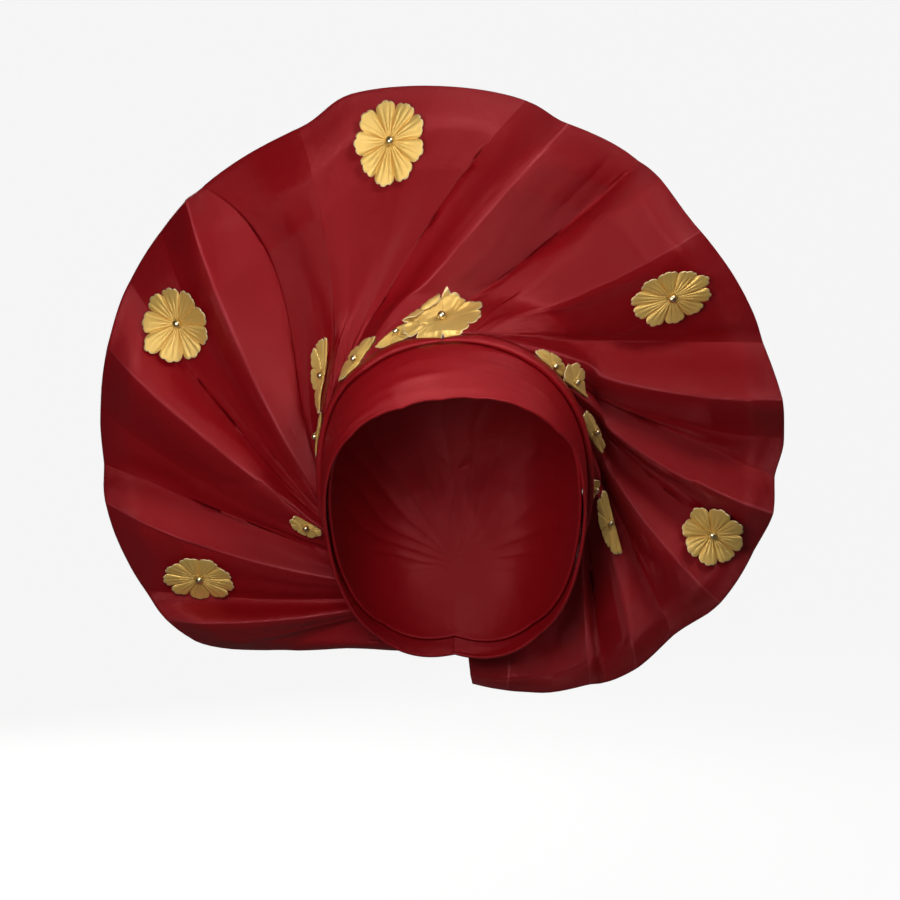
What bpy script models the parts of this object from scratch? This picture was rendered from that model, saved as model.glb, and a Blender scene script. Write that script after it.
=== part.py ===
"""Tied head tie: a crown cap of cloth, a smooth forehead band, thin wrapped folds behind the band,
a large pleated fan that swirls round the head, and flower trims that each carry one bead.

Lengths in the tables are millimetres and angles are degrees. The meshes are in metres, with +X to
the right in the front view, the front towards -Y and +Z up. The origin is the inside of the crown,
where the top of the head touches the cap.

An angle round the face is measured in the front view about the middle of the head, from +X and
anticlockwise, so that 90 is above the forehead and 270 is the nape. A tip angle lifts a direction
out of the plane of the ears: 90 is straight to the front and -90 is straight to the back.
"""

import math
from typing import NamedTuple

import bmesh
import bpy
import numpy as np
from mathutils import Vector
from mathutils.bvhtree import BVHTree

MM = 0.001

# The head that the piece sits on, as the inside of the cap
HEAD_HALF_WIDTH = 67.0
HEAD_HALF_DEPTH = 93.0
CROWN_HEIGHT = 80.0
NAPE_DROP = 118.0
HEAD_SQUARENESS = 2.35

# Cloth layers, as heights over the head
CAP_THICKNESS = 1.5
BAND_INNER_HEIGHT = 2.4
BAND_THICKNESS = 1.6
FAN_ROOT_HEIGHT = 3.3
FAN_THICKNESS = 1.5
CAP_HEM_BEHIND_BAND = 5.0

# The wrapped folds are soft rolls of cloth along the rear edge of the band
ROLL_RADIUS = 1.7
ROLL_GAP = 0.4
ROLL_TIP_SIZE = 0.35
ROLL_TAPER = 4.0
SECOND_ROLL_BEHIND = 3.9

# The fan
ROOT_BEHIND_BAND = 7.6
COLLAR_FLARE = 8.0
DISC_LEAN = 0.06
FILLET = 10.0
RIM_DEPTH_MIDDLE = 36.0
RIM_DEPTH_TOP = -8.0
RIM_DEPTH_NAPE = 92.0
NAPE_CURVE = 1.3
LEAST_COLLAR = 4.0
FILLET_SHARE = 0.4
SWELL_FULL = 0.74
SWELL_POWER = 1.1
EARLY_RUN = 0.1
FORWARD_SHARE = 0.55
ROLL_START = 0.85
RIM_SWELL_SHARE = 0.35
RIM_ROLL = 12.0
FAN_ROWS = (0.0, 0.05, 0.12, 0.21, 0.32, 0.45, 0.6, 0.74, 0.85, 0.93, 1.0)

# The knot at the nape, with the share of its depth at which its middle stands off the cap
KNOT_TIP = -60.0
KNOT_SIZE = (46.0, 22.0, 26.0)
KNOT_SEAT = 0.44

# Trims
PETALS = 9
PETAL_CORNERS = 3
PETAL_DEPTH = 0.2
FLOWER_RINGS = (0.5, 1.0)
FLOWER_THICKNESS = 0.8
FLOWER_GAP = 0.4
FLOWER_SINK = 14.0  # how far below a flower its height over the folds is measured from
FLOWER_REACH = 4.6
FLOWER_STEEPEST = 0.7  # how steeply a flower bends where it bridges the folds
FLOWER_FEELERS = 8
SETTLE_STEP = 0.1
SETTLE_RISE = 2.0
SETTLE_DROP = 6.0
BEAD_RADIUS = 2.8
BEAD_SIDES = 10
BEAD_RINGS = 5
BEAD_GAP = 0.3
BEAD_STEP = 0.1

# Mesh density
CAP_COLUMNS = 40
CAP_RINGS = 8
BAND_COLUMNS = 48
BAND_ROWS = 5
ROLL_STEP = 7.0

# Steps of the walk over the folds
WALK_STEPS = 12
SHARE_PROBE = 0.01
PLACE_PROBE = 0.05


class Finish(NamedTuple):
    """One plain finish of a Principled material."""

    name: str
    colour: tuple
    roughness: float
    metallic: float


WINE_CLOTH = Finish("wine cloth", (0.27, 0.012, 0.022, 1.0), 0.45, 0.0)
GOLD_SATIN = Finish("gold satin", (0.78, 0.56, 0.14, 1.0), 0.4, 0.2)
GOLD_METAL = Finish("gold metal", (0.83, 0.62, 0.27, 1.0), 0.2, 1.0)


class BandStation(NamedTuple):
    """The tips of the band's two edges at one angle round the face."""

    angle: float
    front: float
    rear: float


class Fold(NamedTuple):
    """One crease of the fan, a ridge or the bottom of a valley, from the rim to the root.

    Height is how far it stands out of the fan's lowest surface, early the share of that height
    that it already has beside the band, and bow the sideways bend with its place along the fold.
    """

    name: str
    rim_angle: float
    rim_radius: float
    root_angle: float
    height: float
    early: float
    bow: float
    bow_at: float


class Roll(NamedTuple):
    """One wrapped fold: where it starts and ends round the face, and how far behind the edge."""

    name: str
    start: float
    end: float
    behind: float
    height: float


class Flower(NamedTuple):
    """One flower trim: the fold line through its middle, how far out it is, and its size."""

    name: str
    rim_angle: float
    share: float
    along_fold: float
    across_folds: float


BAND = (
    BandStation(-90.0, -32.0, -42.0),
    BandStation(-62.0, -23.0, -38.0),
    BandStation(-38.0, -5.0, -25.0),
    BandStation(-18.0, 12.0, -8.0),
    BandStation(-4.0, 27.0, 9.0),
    BandStation(6.0, 34.0, 18.0),
    BandStation(14.0, 40.0, 23.0),
    BandStation(24.0, 49.0, 28.0),
    BandStation(34.0, 54.0, 32.5),
    BandStation(44.0, 58.0, 36.0),
    BandStation(60.0, 62.0, 39.5),
    BandStation(75.0, 64.5, 40.5),
    BandStation(100.0, 65.5, 40.5),
    BandStation(127.0, 62.5, 36.5),
    BandStation(141.0, 57.5, 28.5),
    BandStation(158.0, 49.0, 18.0),
    BandStation(169.0, 40.0, 11.0),
    BandStation(179.0, 30.0, 4.0),
    BandStation(190.0, 17.0, -6.0),
    BandStation(206.0, -1.0, -19.0),
    BandStation(225.0, -15.0, -31.0),
    BandStation(245.0, -26.0, -39.0),
    BandStation(270.0, -32.0, -42.0),
)

FOLDS = (
    Fold("left end", 266.0, 100.0, 267.0, 0.0, 0.0, 0.0, 0.5),
    Fold("left hem crest", 254.0, 104.0, 263.0, 7.5, 0.0, 0.0, 0.5),
    Fold("left hem valley", 240.0, 114.0, 260.0, 0.0, 0.0, 0.0, 0.5),
    Fold("left underside", 226.0, 137.5, 257.5, 1.0, 0.0, 0.0, 0.5),
    Fold("lower left corner", 213.0, 173.0, 255.5, 2.5, 0.0, -6.0, 0.5),
    Fold("lower left crest", 205.5, 179.5, 253.0, 15.0, 0.2, -5.0, 0.5),
    Fold("flower valley", 200.0, 185.0, 250.0, 0.0, 0.0, -3.0, 0.5),
    Fold("bright left crest", 182.5, 194.0, 245.0, 19.0, 0.1, -3.0, 0.6),
    Fold("bright left valley", 177.0, 195.0, 221.0, 0.0, 0.0, 4.0, 0.5),
    Fold("left hollow", 169.0, 199.0, 215.0, 0.0, 0.0, -4.5, 0.5),
    Fold("long left crest", 159.3, 202.5, 210.0, 20.5, 0.2, -2.0, 0.5),
    Fold("thin left crease", 148.5, 207.5, 207.0, 11.0, 0.0, -3.5, 0.4),
    Fold("left shoulder valley", 141.0, 208.5, 204.0, 1.0, 0.0, -7.5, 0.5),
    Fold("shoulder crest", 132.8, 208.5, 203.0, 26.0, 0.2, -3.0, 0.5),
    Fold("shoulder valley", 130.5, 209.0, 190.0, 0.0, 0.0, 24.0, 0.7),
    Fold("tall crest", 113.7, 206.0, 180.0, 20.0, 0.5, 10.0, 0.45),
    Fold("crown valley", 104.5, 213.5, 169.0, 10.5, 0.2, 4.0, 0.5),
    Fold("crown crest", 92.7, 210.5, 153.0, 16.0, 0.2, 0.0, 0.5),
    Fold("narrow valley", 79.5, 206.5, 144.0, 7.5, 0.0, -2.0, 0.5),
    Fold("long crown crest", 71.9, 199.0, 138.0, 20.0, 0.2, -3.0, 0.5),
    Fold("dark crown valley", 63.5, 199.0, 120.0, 4.5, 0.0, 4.5, 0.5),
    Fold("dark crown streak", 60.0, 198.0, 109.0, 3.0, 0.0, 3.0, 0.5),
    Fold("right shoulder valley", 57.6, 197.0, 98.0, 5.5, 0.0, 0.0, 0.5),
    Fold("right shoulder crest", 55.4, 195.5, 84.0, 25.5, 0.2, 2.0, 0.5),
    Fold("right plain", 45.0, 187.5, 82.0, 24.0, 0.1, 0.5, 0.5),
    Fold("upper right valley", 29.5, 186.0, 77.5, 4.0, 0.0, -5.5, 0.5),
    Fold("upper right crease", 24.0, 184.5, 76.0, 0.0, 0.0, 1.0, 0.5),
    Fold("right crest", 15.0, 184.0, 72.0, 26.0, 0.2, 5.0, 0.5),
    Fold("right hollow", 7.5, 183.0, 62.0, 0.0, 0.0, 7.5, 0.5),
    Fold("right valley", -0.5, 177.5, 53.0, 0.0, 0.0, -1.0, 0.5),
    Fold("bright right crest", -6.5, 177.0, 42.0, 22.5, 0.2, 3.0, 0.5),
    Fold("low right valley", -15.0, 172.0, 38.0, 0.0, 0.0, 3.0, 0.5),
    Fold("low right crest", -25.0, 164.5, 35.0, 14.0, 0.2, 3.0, 0.5),
    Fold("dark right valley", -36.0, 153.0, 26.0, 0.0, 0.0, -2.5, 0.5),
    Fold("cheek crest", -47.0, 150.0, 17.0, 11.0, 0.3, -4.0, 0.5),
    Fold("cheek valley", -54.0, 146.0, 3.0, 0.0, 0.0, 2.0, 0.5),
    Fold("jaw crest", -56.0, 142.0, -8.0, 7.5, 0.3, -1.0, 0.5),
    Fold("jaw valley", -66.0, 136.0, -30.0, 0.0, 0.0, 1.0, 0.5),
    Fold("right hem crest", -76.0, 127.0, -62.0, 7.5, 0.0, 0.0, 0.5),
    Fold("right end", -85.0, 120.0, -86.5, 0.0, 0.0, 0.0, 0.5),
)

ROLLS = (
    Roll("wrap_fold_left_front", 208.0, 97.0, 0.0, BAND_INNER_HEIGHT + BAND_THICKNESS),
    Roll("wrap_fold_left_rear", 204.0, 112.0, SECOND_ROLL_BEHIND, CAP_THICKNESS),
    Roll("wrap_fold_right_front", 94.0, -24.0, 0.0, BAND_INNER_HEIGHT + BAND_THICKNESS),
    Roll("wrap_fold_right_rear", 86.0, -28.0, SECOND_ROLL_BEHIND, CAP_THICKNESS),
)

FLOWERS = (
    Flower("top", 97.3, 0.825, 49.0, 38.0),
    Flower("left", 146.1, 0.785, 41.0, 41.0),
    Flower("right", 33.0, 0.72, 45.0, 34.0),
    Flower("lower_left", 194.2, 0.755, 40.0, 32.0),
    Flower("lower_right", -16.9, 0.815, 38.0, 36.0),
    Flower("temple_upper", 122.6, 0.355, 34.0, 15.0),
    Flower("temple_lower", 127.0, 0.19, 32.0, 14.0),
    Flower("brow_left", 81.3, 0.122, 38.0, 16.0),
    Flower("brow_inner", 65.0, 0.055, 32.0, 13.0),
    Flower("crown", 58.8, 0.125, 44.0, 30.0),
    Flower("brow_right_inner", 1.5, 0.045, 24.0, 11.0),
    Flower("brow_right", -0.8, 0.1, 28.0, 14.0),
    Flower("temple_right", -21.5, 0.12, 36.0, 15.0),
    Flower("ear_right", -43.5, 0.385, 40.0, 18.0),
    Flower("ear_sliver", -49.5, 0.17, 18.0, 9.0),
    Flower("ear_left", 166.3, 0.175, 32.0, 20.0),
)


def smooth_curve(xs, ys, at):
    """Values at the points `at` of a smooth curve through (xs, ys) that never overshoots them."""
    xs = np.asarray(xs, float)
    ys = np.asarray(ys, float)
    at = np.asarray(at, float)
    steps = np.diff(xs)
    slopes = np.diff(ys) / steps
    left, right = slopes[:-1], slopes[1:]
    same_way = left * right > 0.0
    harmonic = 2.0 * left * right / np.where(same_way, left + right, 1.0)
    tangents = np.concatenate(([slopes[0]], np.where(same_way, harmonic, 0.0), [slopes[-1]]))
    span = np.clip(np.searchsorted(xs, at, side="right") - 1, 0, len(xs) - 2)
    width = steps[span]
    part = np.clip((at - xs[span]) / width, 0.0, 1.0)
    rest = 1.0 - part
    start = ys[span] * (1.0 + 2.0 * part) * rest**2 + tangents[span] * width * part * rest**2
    end = ys[span + 1] * (3.0 - 2.0 * part) * part**2
    return start + end - tangents[span + 1] * width * rest * part**2


def head_point(angle, tip, height):
    """Point on the head's surface, raised by `height`, relative to the middle of the head."""
    angle = np.radians(angle)
    tip = np.radians(tip)
    across = np.cos(tip) * np.cos(angle)
    back = -np.sin(tip) + 0.0 * angle
    up = np.cos(tip) * np.sin(angle)
    tall = np.where(up >= 0.0, CROWN_HEIGHT, NAPE_DROP)
    power = HEAD_SQUARENESS
    total = (
        np.abs(across / HEAD_HALF_WIDTH) ** power
        + np.abs(back / HEAD_HALF_DEPTH) ** power
        + np.abs(up / tall) ** power
    )
    reach = total ** (-1.0 / power) + height
    return np.stack([across * reach, back * reach, up * reach], axis=-1)


def band_front(angle):
    """Tip of the band's straight-sided front edge at an angle round the face."""
    return np.interp(angle, [row.angle for row in BAND], [row.front for row in BAND])


def band_rear(angle):
    """Tip of the band's rear edge at an angle round the face."""
    return smooth_curve([row.angle for row in BAND], [row.rear for row in BAND], angle)


def rim_depth(angle):
    """How far back the rim of the fan lies at an angle round the face."""
    rise = np.sin(np.radians(angle))
    above = RIM_DEPTH_MIDDLE + (RIM_DEPTH_TOP - RIM_DEPTH_MIDDLE) * np.maximum(rise, 0.0)
    return above + (RIM_DEPTH_NAPE - RIM_DEPTH_MIDDLE) * np.maximum(-rise, 0.0) ** NAPE_CURVE


def rim_radius(angle):
    """Distance of the rim from the middle of the head at an angle round the face."""
    rows = sorted(FOLDS, key=lambda row: row.rim_angle)
    return smooth_curve([row.rim_angle for row in rows], [row.rim_radius for row in rows], angle)


def root_ring(angle):
    """Point of the fan's root on the head at an angle round the face."""
    return head_point(angle, band_rear(angle) - ROOT_BEHIND_BAND, FAN_ROOT_HEIGHT)


def base_point(angle, reach):
    """Point on the fan's lowest surface, `reach` outwards of its root.

    The surface leaves the head as a steep collar and turns over a fillet into the upright disc.
    """
    root = root_ring(angle)
    one_degree_back = band_rear(angle) - ROOT_BEHIND_BAND - 1.0
    further = head_point(angle, one_degree_back, FAN_ROOT_HEIGHT)
    root_radius = np.hypot(root[..., 0], root[..., 2])
    widening = np.hypot(further[..., 0], further[..., 2]) - root_radius
    along_head = np.degrees(np.arctan2(widening, further[..., 1] - root[..., 1]))
    flare = np.radians(np.maximum(along_head, 0.0) + COLLAR_FLARE)
    disc_start = rim_depth(angle) - DISC_LEAN * (rim_radius(angle) - root_radius)
    room = np.maximum(disc_start - root[..., 1], LEAST_COLLAR)
    blend = np.minimum(FILLET, FILLET_SHARE * room)
    collar = reach / np.tan(flare)
    disc = room + DISC_LEAN * reach
    depth = 0.5 * (collar + disc - np.sqrt((collar - disc) ** 2 + blend**2))
    depth = depth - 0.5 * (room - np.sqrt(room**2 + blend**2))
    radius = root_radius + reach
    turn = np.radians(angle)
    return np.stack([radius * np.cos(turn), root[..., 1] + depth, radius * np.sin(turn)], axis=-1)


def base_normal(angle, reach):
    """Direction out of the fan's lowest surface, away from the head and towards the front."""
    step = 0.5
    outward = base_point(angle, reach + step) - base_point(angle, reach)
    around = base_point(angle + step, reach) - base_point(angle - step, reach)
    normal = np.cross(outward, around)
    return normal / np.linalg.norm(normal, axis=-1, keepdims=True)


def angle_of(across, up):
    """Angle round the face of a place in the front view, from -90 to 270."""
    angle = np.degrees(np.arctan2(up, across))
    return np.where(angle < -90.0, angle + 360.0, angle)


def reach_at(across, up):
    """How far outwards of the fan's root a place in the front view lies."""
    root = root_ring(angle_of(across, up))
    return np.hypot(across, up) - np.hypot(root[..., 0], root[..., 2])


def swell(share, early):
    """Share of a fold's height that shows at a share of the way from the root to the rim."""
    rise = np.minimum(share / SWELL_FULL, 1.0) ** SWELL_POWER
    rise = rise + early * (1.0 - rise) * (1.0 - np.exp(-share / EARLY_RUN))
    fall = np.clip((share - ROLL_START) / (1.0 - ROLL_START), 0.0, 1.0)
    return rise * (1.0 - (1.0 - RIM_SWELL_SHARE) * fall**2 * (3.0 - 2.0 * fall))


def sideways(share, peak):
    """Bend of a fold at a share of its length: 0 at both ends and 1 at the peak."""
    power = peak / (1.0 - peak)
    return share**power * (1.0 - share) / (peak**power * (1.0 - peak))


def fold_value(field, place, bend=smooth_curve):
    """Value of one column of the table of folds at a place in its row of folds."""
    numbers = np.arange(len(FOLDS))
    return bend(numbers, [getattr(row, field) for row in FOLDS], place)


def straight(xs, ys, at):
    """Values at the points `at` of straight lines between the points (xs, ys)."""
    return np.interp(at, xs, ys)


def fan_base(place, share):
    """The fan's lowest surface under a place in the row of folds, and its normal there."""
    rim_angle = np.radians(fold_value("rim_angle", place))
    radius = fold_value("rim_radius", place)
    root = root_ring(fold_value("root_angle", place))
    run_across = radius * np.cos(rim_angle) - root[..., 0]
    run_up = radius * np.sin(rim_angle) - root[..., 2]
    bend = fold_value("bow", place) * sideways(share, fold_value("bow_at", place))
    bend = bend / np.hypot(run_across, run_up)
    across = root[..., 0] + run_across * share + run_up * bend
    up = root[..., 2] + run_up * share - run_across * bend
    angle = angle_of(across, up)
    reach = np.maximum(reach_at(across, up), 0.0)
    point = base_point(angle, reach)
    point[..., 1] += np.clip((share - ROLL_START) / (1.0 - ROLL_START), 0.0, 1.0) ** 2 * RIM_ROLL
    return point, base_normal(angle, reach)


def fan_point(place, share):
    """Point of the fan at a place in the row of folds and a share of the way out to the rim."""
    point, normal = fan_base(place, share)
    height = fold_value("height", place, straight)
    lift = swell(share, fold_value("early", place, straight)) * height
    way = normal * (1.0 - FORWARD_SHARE) + np.array([0.0, -FORWARD_SHARE, 0.0])
    way = way / np.linalg.norm(way, axis=-1, keepdims=True)
    return point + way * lift[..., None]


def walk(place, share, along, across):
    """Places and shares reached from one spot of the fan by walking along and across its folds."""
    place = np.full(np.shape(along), float(place))
    share = np.full(np.shape(along), float(share))
    for _ in range(WALK_STEPS):
        here = fan_point(place, share)
        further = (fan_point(place, share + SHARE_PROBE) - here) / SHARE_PROBE
        beside = (fan_point(place + PLACE_PROBE, share) - here) / PLACE_PROBE
        ahead = further / np.linalg.norm(further, axis=-1, keepdims=True)
        level = beside - (beside * ahead).sum(-1, keepdims=True) * ahead
        width = np.linalg.norm(level, axis=-1)
        step_place = across / WALK_STEPS / width
        slant = step_place * (beside * ahead).sum(-1)
        step_share = (along / WALK_STEPS - slant) / np.linalg.norm(further, axis=-1)
        place = np.clip(place + step_place, 0.0, len(FOLDS) - 1.0 - PLACE_PROBE)
        share = np.clip(share + step_share, 0.0, 1.0 - SHARE_PROBE)
    return place, share


def to_world(point):
    """Vertex in metres from a point in millimetres about the middle of the head."""
    return Vector((point[0] * MM, point[1] * MM, (point[2] - CROWN_HEIGHT) * MM))


def plain_material(name, finish):
    """Principled material in one colour."""
    material = bpy.data.materials.new(name)
    material.use_nodes = True
    shader = material.node_tree.nodes["Principled BSDF"]
    shader.inputs["Base Color"].default_value = finish.colour
    shader.inputs["Roughness"].default_value = finish.roughness
    shader.inputs["Metallic"].default_value = finish.metallic
    return material


def add_object(name, data, collection, finish):
    """Named object in the collection with a material of its own."""
    body = bpy.data.objects.new(name, data)
    data.materials.append(plain_material(name + " " + finish.name, finish))
    collection.objects.link(body)
    return body


def surface_mesh(name, points, faces):
    """Open surface through points in millimetres, with each face as a tuple of their numbers."""
    data = bpy.data.meshes.new(name)
    data.from_pydata([to_world(point) for point in points], [], faces)
    return data


def grid_mesh(name, points, closed=False, pole=None):
    """Open surface through a grid of points [column][row], closed round the columns if asked.

    A pole is one further point that closes the last row.
    """
    columns, rows = points.shape[:2]
    corners = list(points.reshape(-1, 3))
    faces = []
    for column in range(columns if closed else columns - 1):
        here = column * rows
        beside = (column + 1) % columns * rows
        for row in range(rows - 1):
            faces.append((here + row, here + row + 1, beside + row + 1, beside + row))
        if pole is not None:
            faces.append((here + rows - 1, columns * rows, beside + rows - 1))
    if pole is not None:
        corners.append(pole)
    return surface_mesh(name, corners, faces)


def thicken(body, thickness, offset):
    """Solidify a surface by a thickness in millimetres: offset 1 grows outwards, 0 both ways."""
    shell = body.modifiers.new("cloth thickness", "SOLIDIFY")
    shell.thickness = thickness * MM
    shell.offset = offset
    return body


def make_cap(collection):
    """Cloth over the crown and the back of the head, with its hem under the band."""
    angles = np.arange(CAP_COLUMNS) * 360.0 / CAP_COLUMNS - 90.0
    shares = np.arange(CAP_RINGS) / CAP_RINGS
    hem = band_front(angles) - CAP_HEM_BEHIND_BAND
    tips = hem[:, None] + (-90.0 - hem[:, None]) * shares[None, :]
    points = head_point(angles[:, None] + 0.0 * tips, tips, 0.0)
    pole = head_point(np.array(0.0), np.array(-90.0), 0.0)
    mesh = grid_mesh("crown_cap", points, True, pole)
    body = add_object("crown_cap", mesh, collection, WINE_CLOTH)
    return thicken(body, CAP_THICKNESS, 1.0)


def make_band(collection):
    """Smooth band round the forehead, over the ears and down to the nape."""
    angles = np.arange(BAND_COLUMNS) * 360.0 / BAND_COLUMNS - 90.0
    shares = np.arange(BAND_ROWS + 1) / BAND_ROWS
    front = band_front(angles)[:, None]
    rear = band_rear(angles)[:, None]
    tips = front + (rear - front) * shares[None, :]
    points = head_point(angles[:, None] + 0.0 * tips, tips, BAND_INNER_HEIGHT)
    mesh = grid_mesh("forehead_band", points, True)
    body = add_object("forehead_band", mesh, collection, WINE_CLOTH)
    return thicken(body, BAND_THICKNESS, 1.0)


def make_roll(row, collection):
    """One wrapped fold: a soft roll that tapers to both of its ends."""
    count = int(round(abs(row.end - row.start) / ROLL_STEP)) + 1
    shares = np.linspace(0.0, 1.0, count)
    angles = row.start + (row.end - row.start) * shares
    centre_height = row.height + ROLL_GAP + ROLL_RADIUS
    points = head_point(angles, band_rear(angles) - row.behind, centre_height)
    curve = bpy.data.curves.new(row.name, "CURVE")
    curve.dimensions = "3D"
    curve.bevel_depth = ROLL_RADIUS * MM
    curve.bevel_resolution = 1
    curve.use_fill_caps = True
    spline = curve.splines.new("POLY")
    spline.points.add(count - 1)
    for knot, point, share in zip(spline.points, points, shares):
        knot.co = (*to_world(point), 1.0)
        knot.radius = min(1.0, ROLL_TIP_SIZE + ROLL_TAPER * min(share, 1.0 - share))
    return add_object(row.name, curve, collection, WINE_CLOTH)


def make_fan(collection):
    """The pleated fan: one column of points on each fold and one between neighbours."""
    places = np.arange(2 * len(FOLDS) - 1) / 2.0
    points = fan_point(places[:, None] + 0.0 * np.array(FAN_ROWS), np.array(FAN_ROWS)[None, :])
    body = add_object("fan", grid_mesh("fan", points), collection, WINE_CLOTH)
    return thicken(body, FAN_THICKNESS, 0.0)


def make_knot(collection):
    """Plain knot that gathers the two ends of the fan at the nape."""
    data = bpy.data.meshes.new("nape_knot")
    mesh = bmesh.new()
    bmesh.ops.create_cube(mesh, size=1.0)
    mesh.to_mesh(data)
    mesh.free()
    body = add_object("nape_knot", data, collection, WINE_CLOTH)
    rounded = body.modifiers.new("rounding", "SUBSURF")
    rounded.levels = 2
    rounded.render_levels = 2
    seat = CAP_THICKNESS + KNOT_SEAT * KNOT_SIZE[1]
    centre = head_point(np.array(270.0), np.array(KNOT_TIP), seat)
    body.location = to_world(centre)
    body.rotation_euler = (math.radians(-90.0 - KNOT_TIP), 0.0, 0.0)
    body.scale = [size * MM for size in KNOT_SIZE]
    return body


class Ground:
    """What the trims lie on: the surfaces that a ray towards the head can meet."""

    START = 40.0

    def __init__(self):
        self.trees = []

    def add(self, body):
        """Take an object's evaluated surface into account."""
        bpy.context.view_layer.update()
        depsgraph = bpy.context.evaluated_depsgraph_get()
        self.trees.append(BVHTree.FromObject(body, depsgraph))

    def height(self, point, normal):
        """Height of the ground over a point of the fan's lowest surface, in millimetres."""
        start = to_world(point + normal * self.START)
        best = 0.0
        for tree in self.trees:
            hit = tree.ray_cast(start, Vector(-normal), 2.0 * self.START * MM)
            if hit[0] is not None:
                best = max(best, self.START - hit[3] / MM)
        return best

    def distance(self, point):
        """Distance from a point to the nearest surface, in millimetres."""
        spot = to_world(point)
        return min(tree.find_nearest(spot)[3] for tree in self.trees) / MM

    def meets(self, points, faces):
        """Whether a surface cuts into the ground."""
        surface = BVHTree.FromPolygons([to_world(point) for point in points], faces)
        return any(surface.overlap(tree) for tree in self.trees)

    def settle(self, points, faces, up):
        """Points of a surface lifted a little and then let down until it nearly meets the ground."""
        low = points - up * FLOWER_GAP
        drop = -SETTLE_RISE
        while drop < SETTLE_DROP and not self.meets(low - up * (drop + SETTLE_STEP), faces):
            drop += SETTLE_STEP
        return points - up * drop


def place_of(rim_angle):
    """Place in the row of folds of the line that meets the rim at an angle."""
    angles = [-row.rim_angle for row in FOLDS]
    return float(np.interp(-rim_angle, angles, np.arange(len(FOLDS))))


def flower_plane(row, along, across):
    """Flat copy of a flower, fitted to the fan where the flower lies, and the direction out of it."""
    surface = fan_point(*walk(place_of(row.rim_angle), row.share, along, across))
    offsets = np.stack([along, across, np.ones(len(along))], axis=-1)
    fitted = np.linalg.lstsq(offsets, surface, rcond=None)[0]
    normal = np.cross(fitted[1], fitted[0])
    return offsets @ fitted, normal / np.linalg.norm(normal)


def clear_height(point, normal, ground):
    """Largest height of the ground at a place and at the places round it."""
    side = np.cross(normal, (0.0, 0.0, 1.0))
    side = side / np.linalg.norm(side)
    turns = 2.0 * math.pi * np.arange(FLOWER_FEELERS) / FLOWER_FEELERS
    round_it = np.cos(turns)[:, None] * side + np.sin(turns)[:, None] * np.cross(normal, side)
    near = point + FLOWER_REACH * round_it
    return max([ground.height(point, normal)] + [ground.height(spot, normal) for spot in near])


def resting_points(row, along, across, ground):
    """Points of a flower's underside, clear of the folds, and the direction out of it."""
    points, normal = flower_plane(row, along, across)
    points = points - FLOWER_SINK * normal
    heights = np.array([clear_height(point, normal, ground) for point in points])
    apart = np.linalg.norm(points[:, None] - points[None, :], axis=-1)
    bridged = (heights[None, :] - FLOWER_STEEPEST * apart).max(axis=1)
    return points + (bridged + FLOWER_GAP)[:, None] * normal, normal


def flower_offsets(row):
    """Offsets of a flower's points from its middle, along and across the folds, ring by ring."""
    columns = PETALS * PETAL_CORNERS
    turns = 2.0 * math.pi * np.arange(columns) / columns
    shares = np.array(FLOWER_RINGS)[:, None]
    notch = 1.0 - np.abs(np.sin(0.5 * PETALS * turns))
    out = shares * (1.0 - PETAL_DEPTH * shares**3 * notch)
    along = 0.5 * row.along_fold * out * np.cos(turns)
    across = 0.5 * row.across_folds * out * np.sin(turns)
    return np.append(along.ravel(), 0.0), np.append(across.ravel(), 0.0)


def flower_faces():
    """Faces of a flower between its rings and round its middle, which is its last point."""
    columns = PETALS * PETAL_CORNERS
    middle = len(FLOWER_RINGS) * columns
    faces = []
    for column in range(columns):
        beside = (column + 1) % columns
        faces.append((middle, beside, column))
        for inner in range(0, middle - columns, columns):
            outer = inner + columns
            faces.append((inner + column, inner + beside, outer + beside))
            faces.append((inner + column, outer + beside, outer + column))
    return faces


def make_flower(row, collection, ground):
    """Thin flower with scalloped petals, laid over the folds of the fan."""
    name = "flower_" + row.name
    faces = flower_faces()
    points, up = resting_points(row, *flower_offsets(row), ground)
    points = ground.settle(points, faces, up)
    body = add_object(name, surface_mesh(name, points, faces), collection, GOLD_SATIN)
    ground.add(thicken(body, FLOWER_THICKNESS, 1.0))
    return points[-1], up


def make_bead(row, middle, up, collection, ground):
    """Round bead over the middle of a flower."""
    centre = middle + up * (FLOWER_THICKNESS + BEAD_RADIUS)
    while ground.distance(centre) < BEAD_RADIUS + BEAD_GAP:
        centre = centre + up * BEAD_STEP
    bpy.ops.mesh.primitive_uv_sphere_add(
        segments=BEAD_SIDES, ring_count=BEAD_RINGS, radius=BEAD_RADIUS * MM
    )
    ball = bpy.context.object
    body = add_object("bead_" + row.name, ball.data, collection, GOLD_METAL)
    body.location = to_world(centre)
    bpy.data.objects.remove(ball)
    body.data.shade_smooth()


def make_trims(collection, fan, rolls):
    """All the flowers and their beads, each laid over what is already there."""
    ground = Ground()
    for body in [fan] + rolls:
        ground.add(body)
    for row in FLOWERS:
        middle, up = make_flower(row, collection, ground)
        make_bead(row, middle, up, collection, ground)


def main():
    """Build the head tie."""
    for old in list(bpy.data.objects):
        bpy.data.objects.remove(old)
    collection = bpy.data.collections.new("tied head tie")
    bpy.context.scene.collection.children.link(collection)
    make_cap(collection)
    make_band(collection)
    rolls = [make_roll(row, collection) for row in ROLLS]
    fan = make_fan(collection)
    make_knot(collection)
    make_trims(collection, fan, rolls)


main()
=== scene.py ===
"""Visual model of a tied gele: a wound crown, a smooth forehead band, thin wrapped folds, a large
pleated fan of taffeta that swirls round the head, and embossed satin flowers with sewn beads.

The forms are worked out in millimetres about the middle of the head and written to meshes in
metres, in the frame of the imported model. An angle round the face is measured in the front view
from +X and anticlockwise; a tip angle lifts a direction to the front (90) or to the back (-90).
"""

import logging
import math
from dataclasses import dataclass, field
from enum import Enum
from typing import Any, Callable, Iterable, NamedTuple, Sequence

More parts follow.
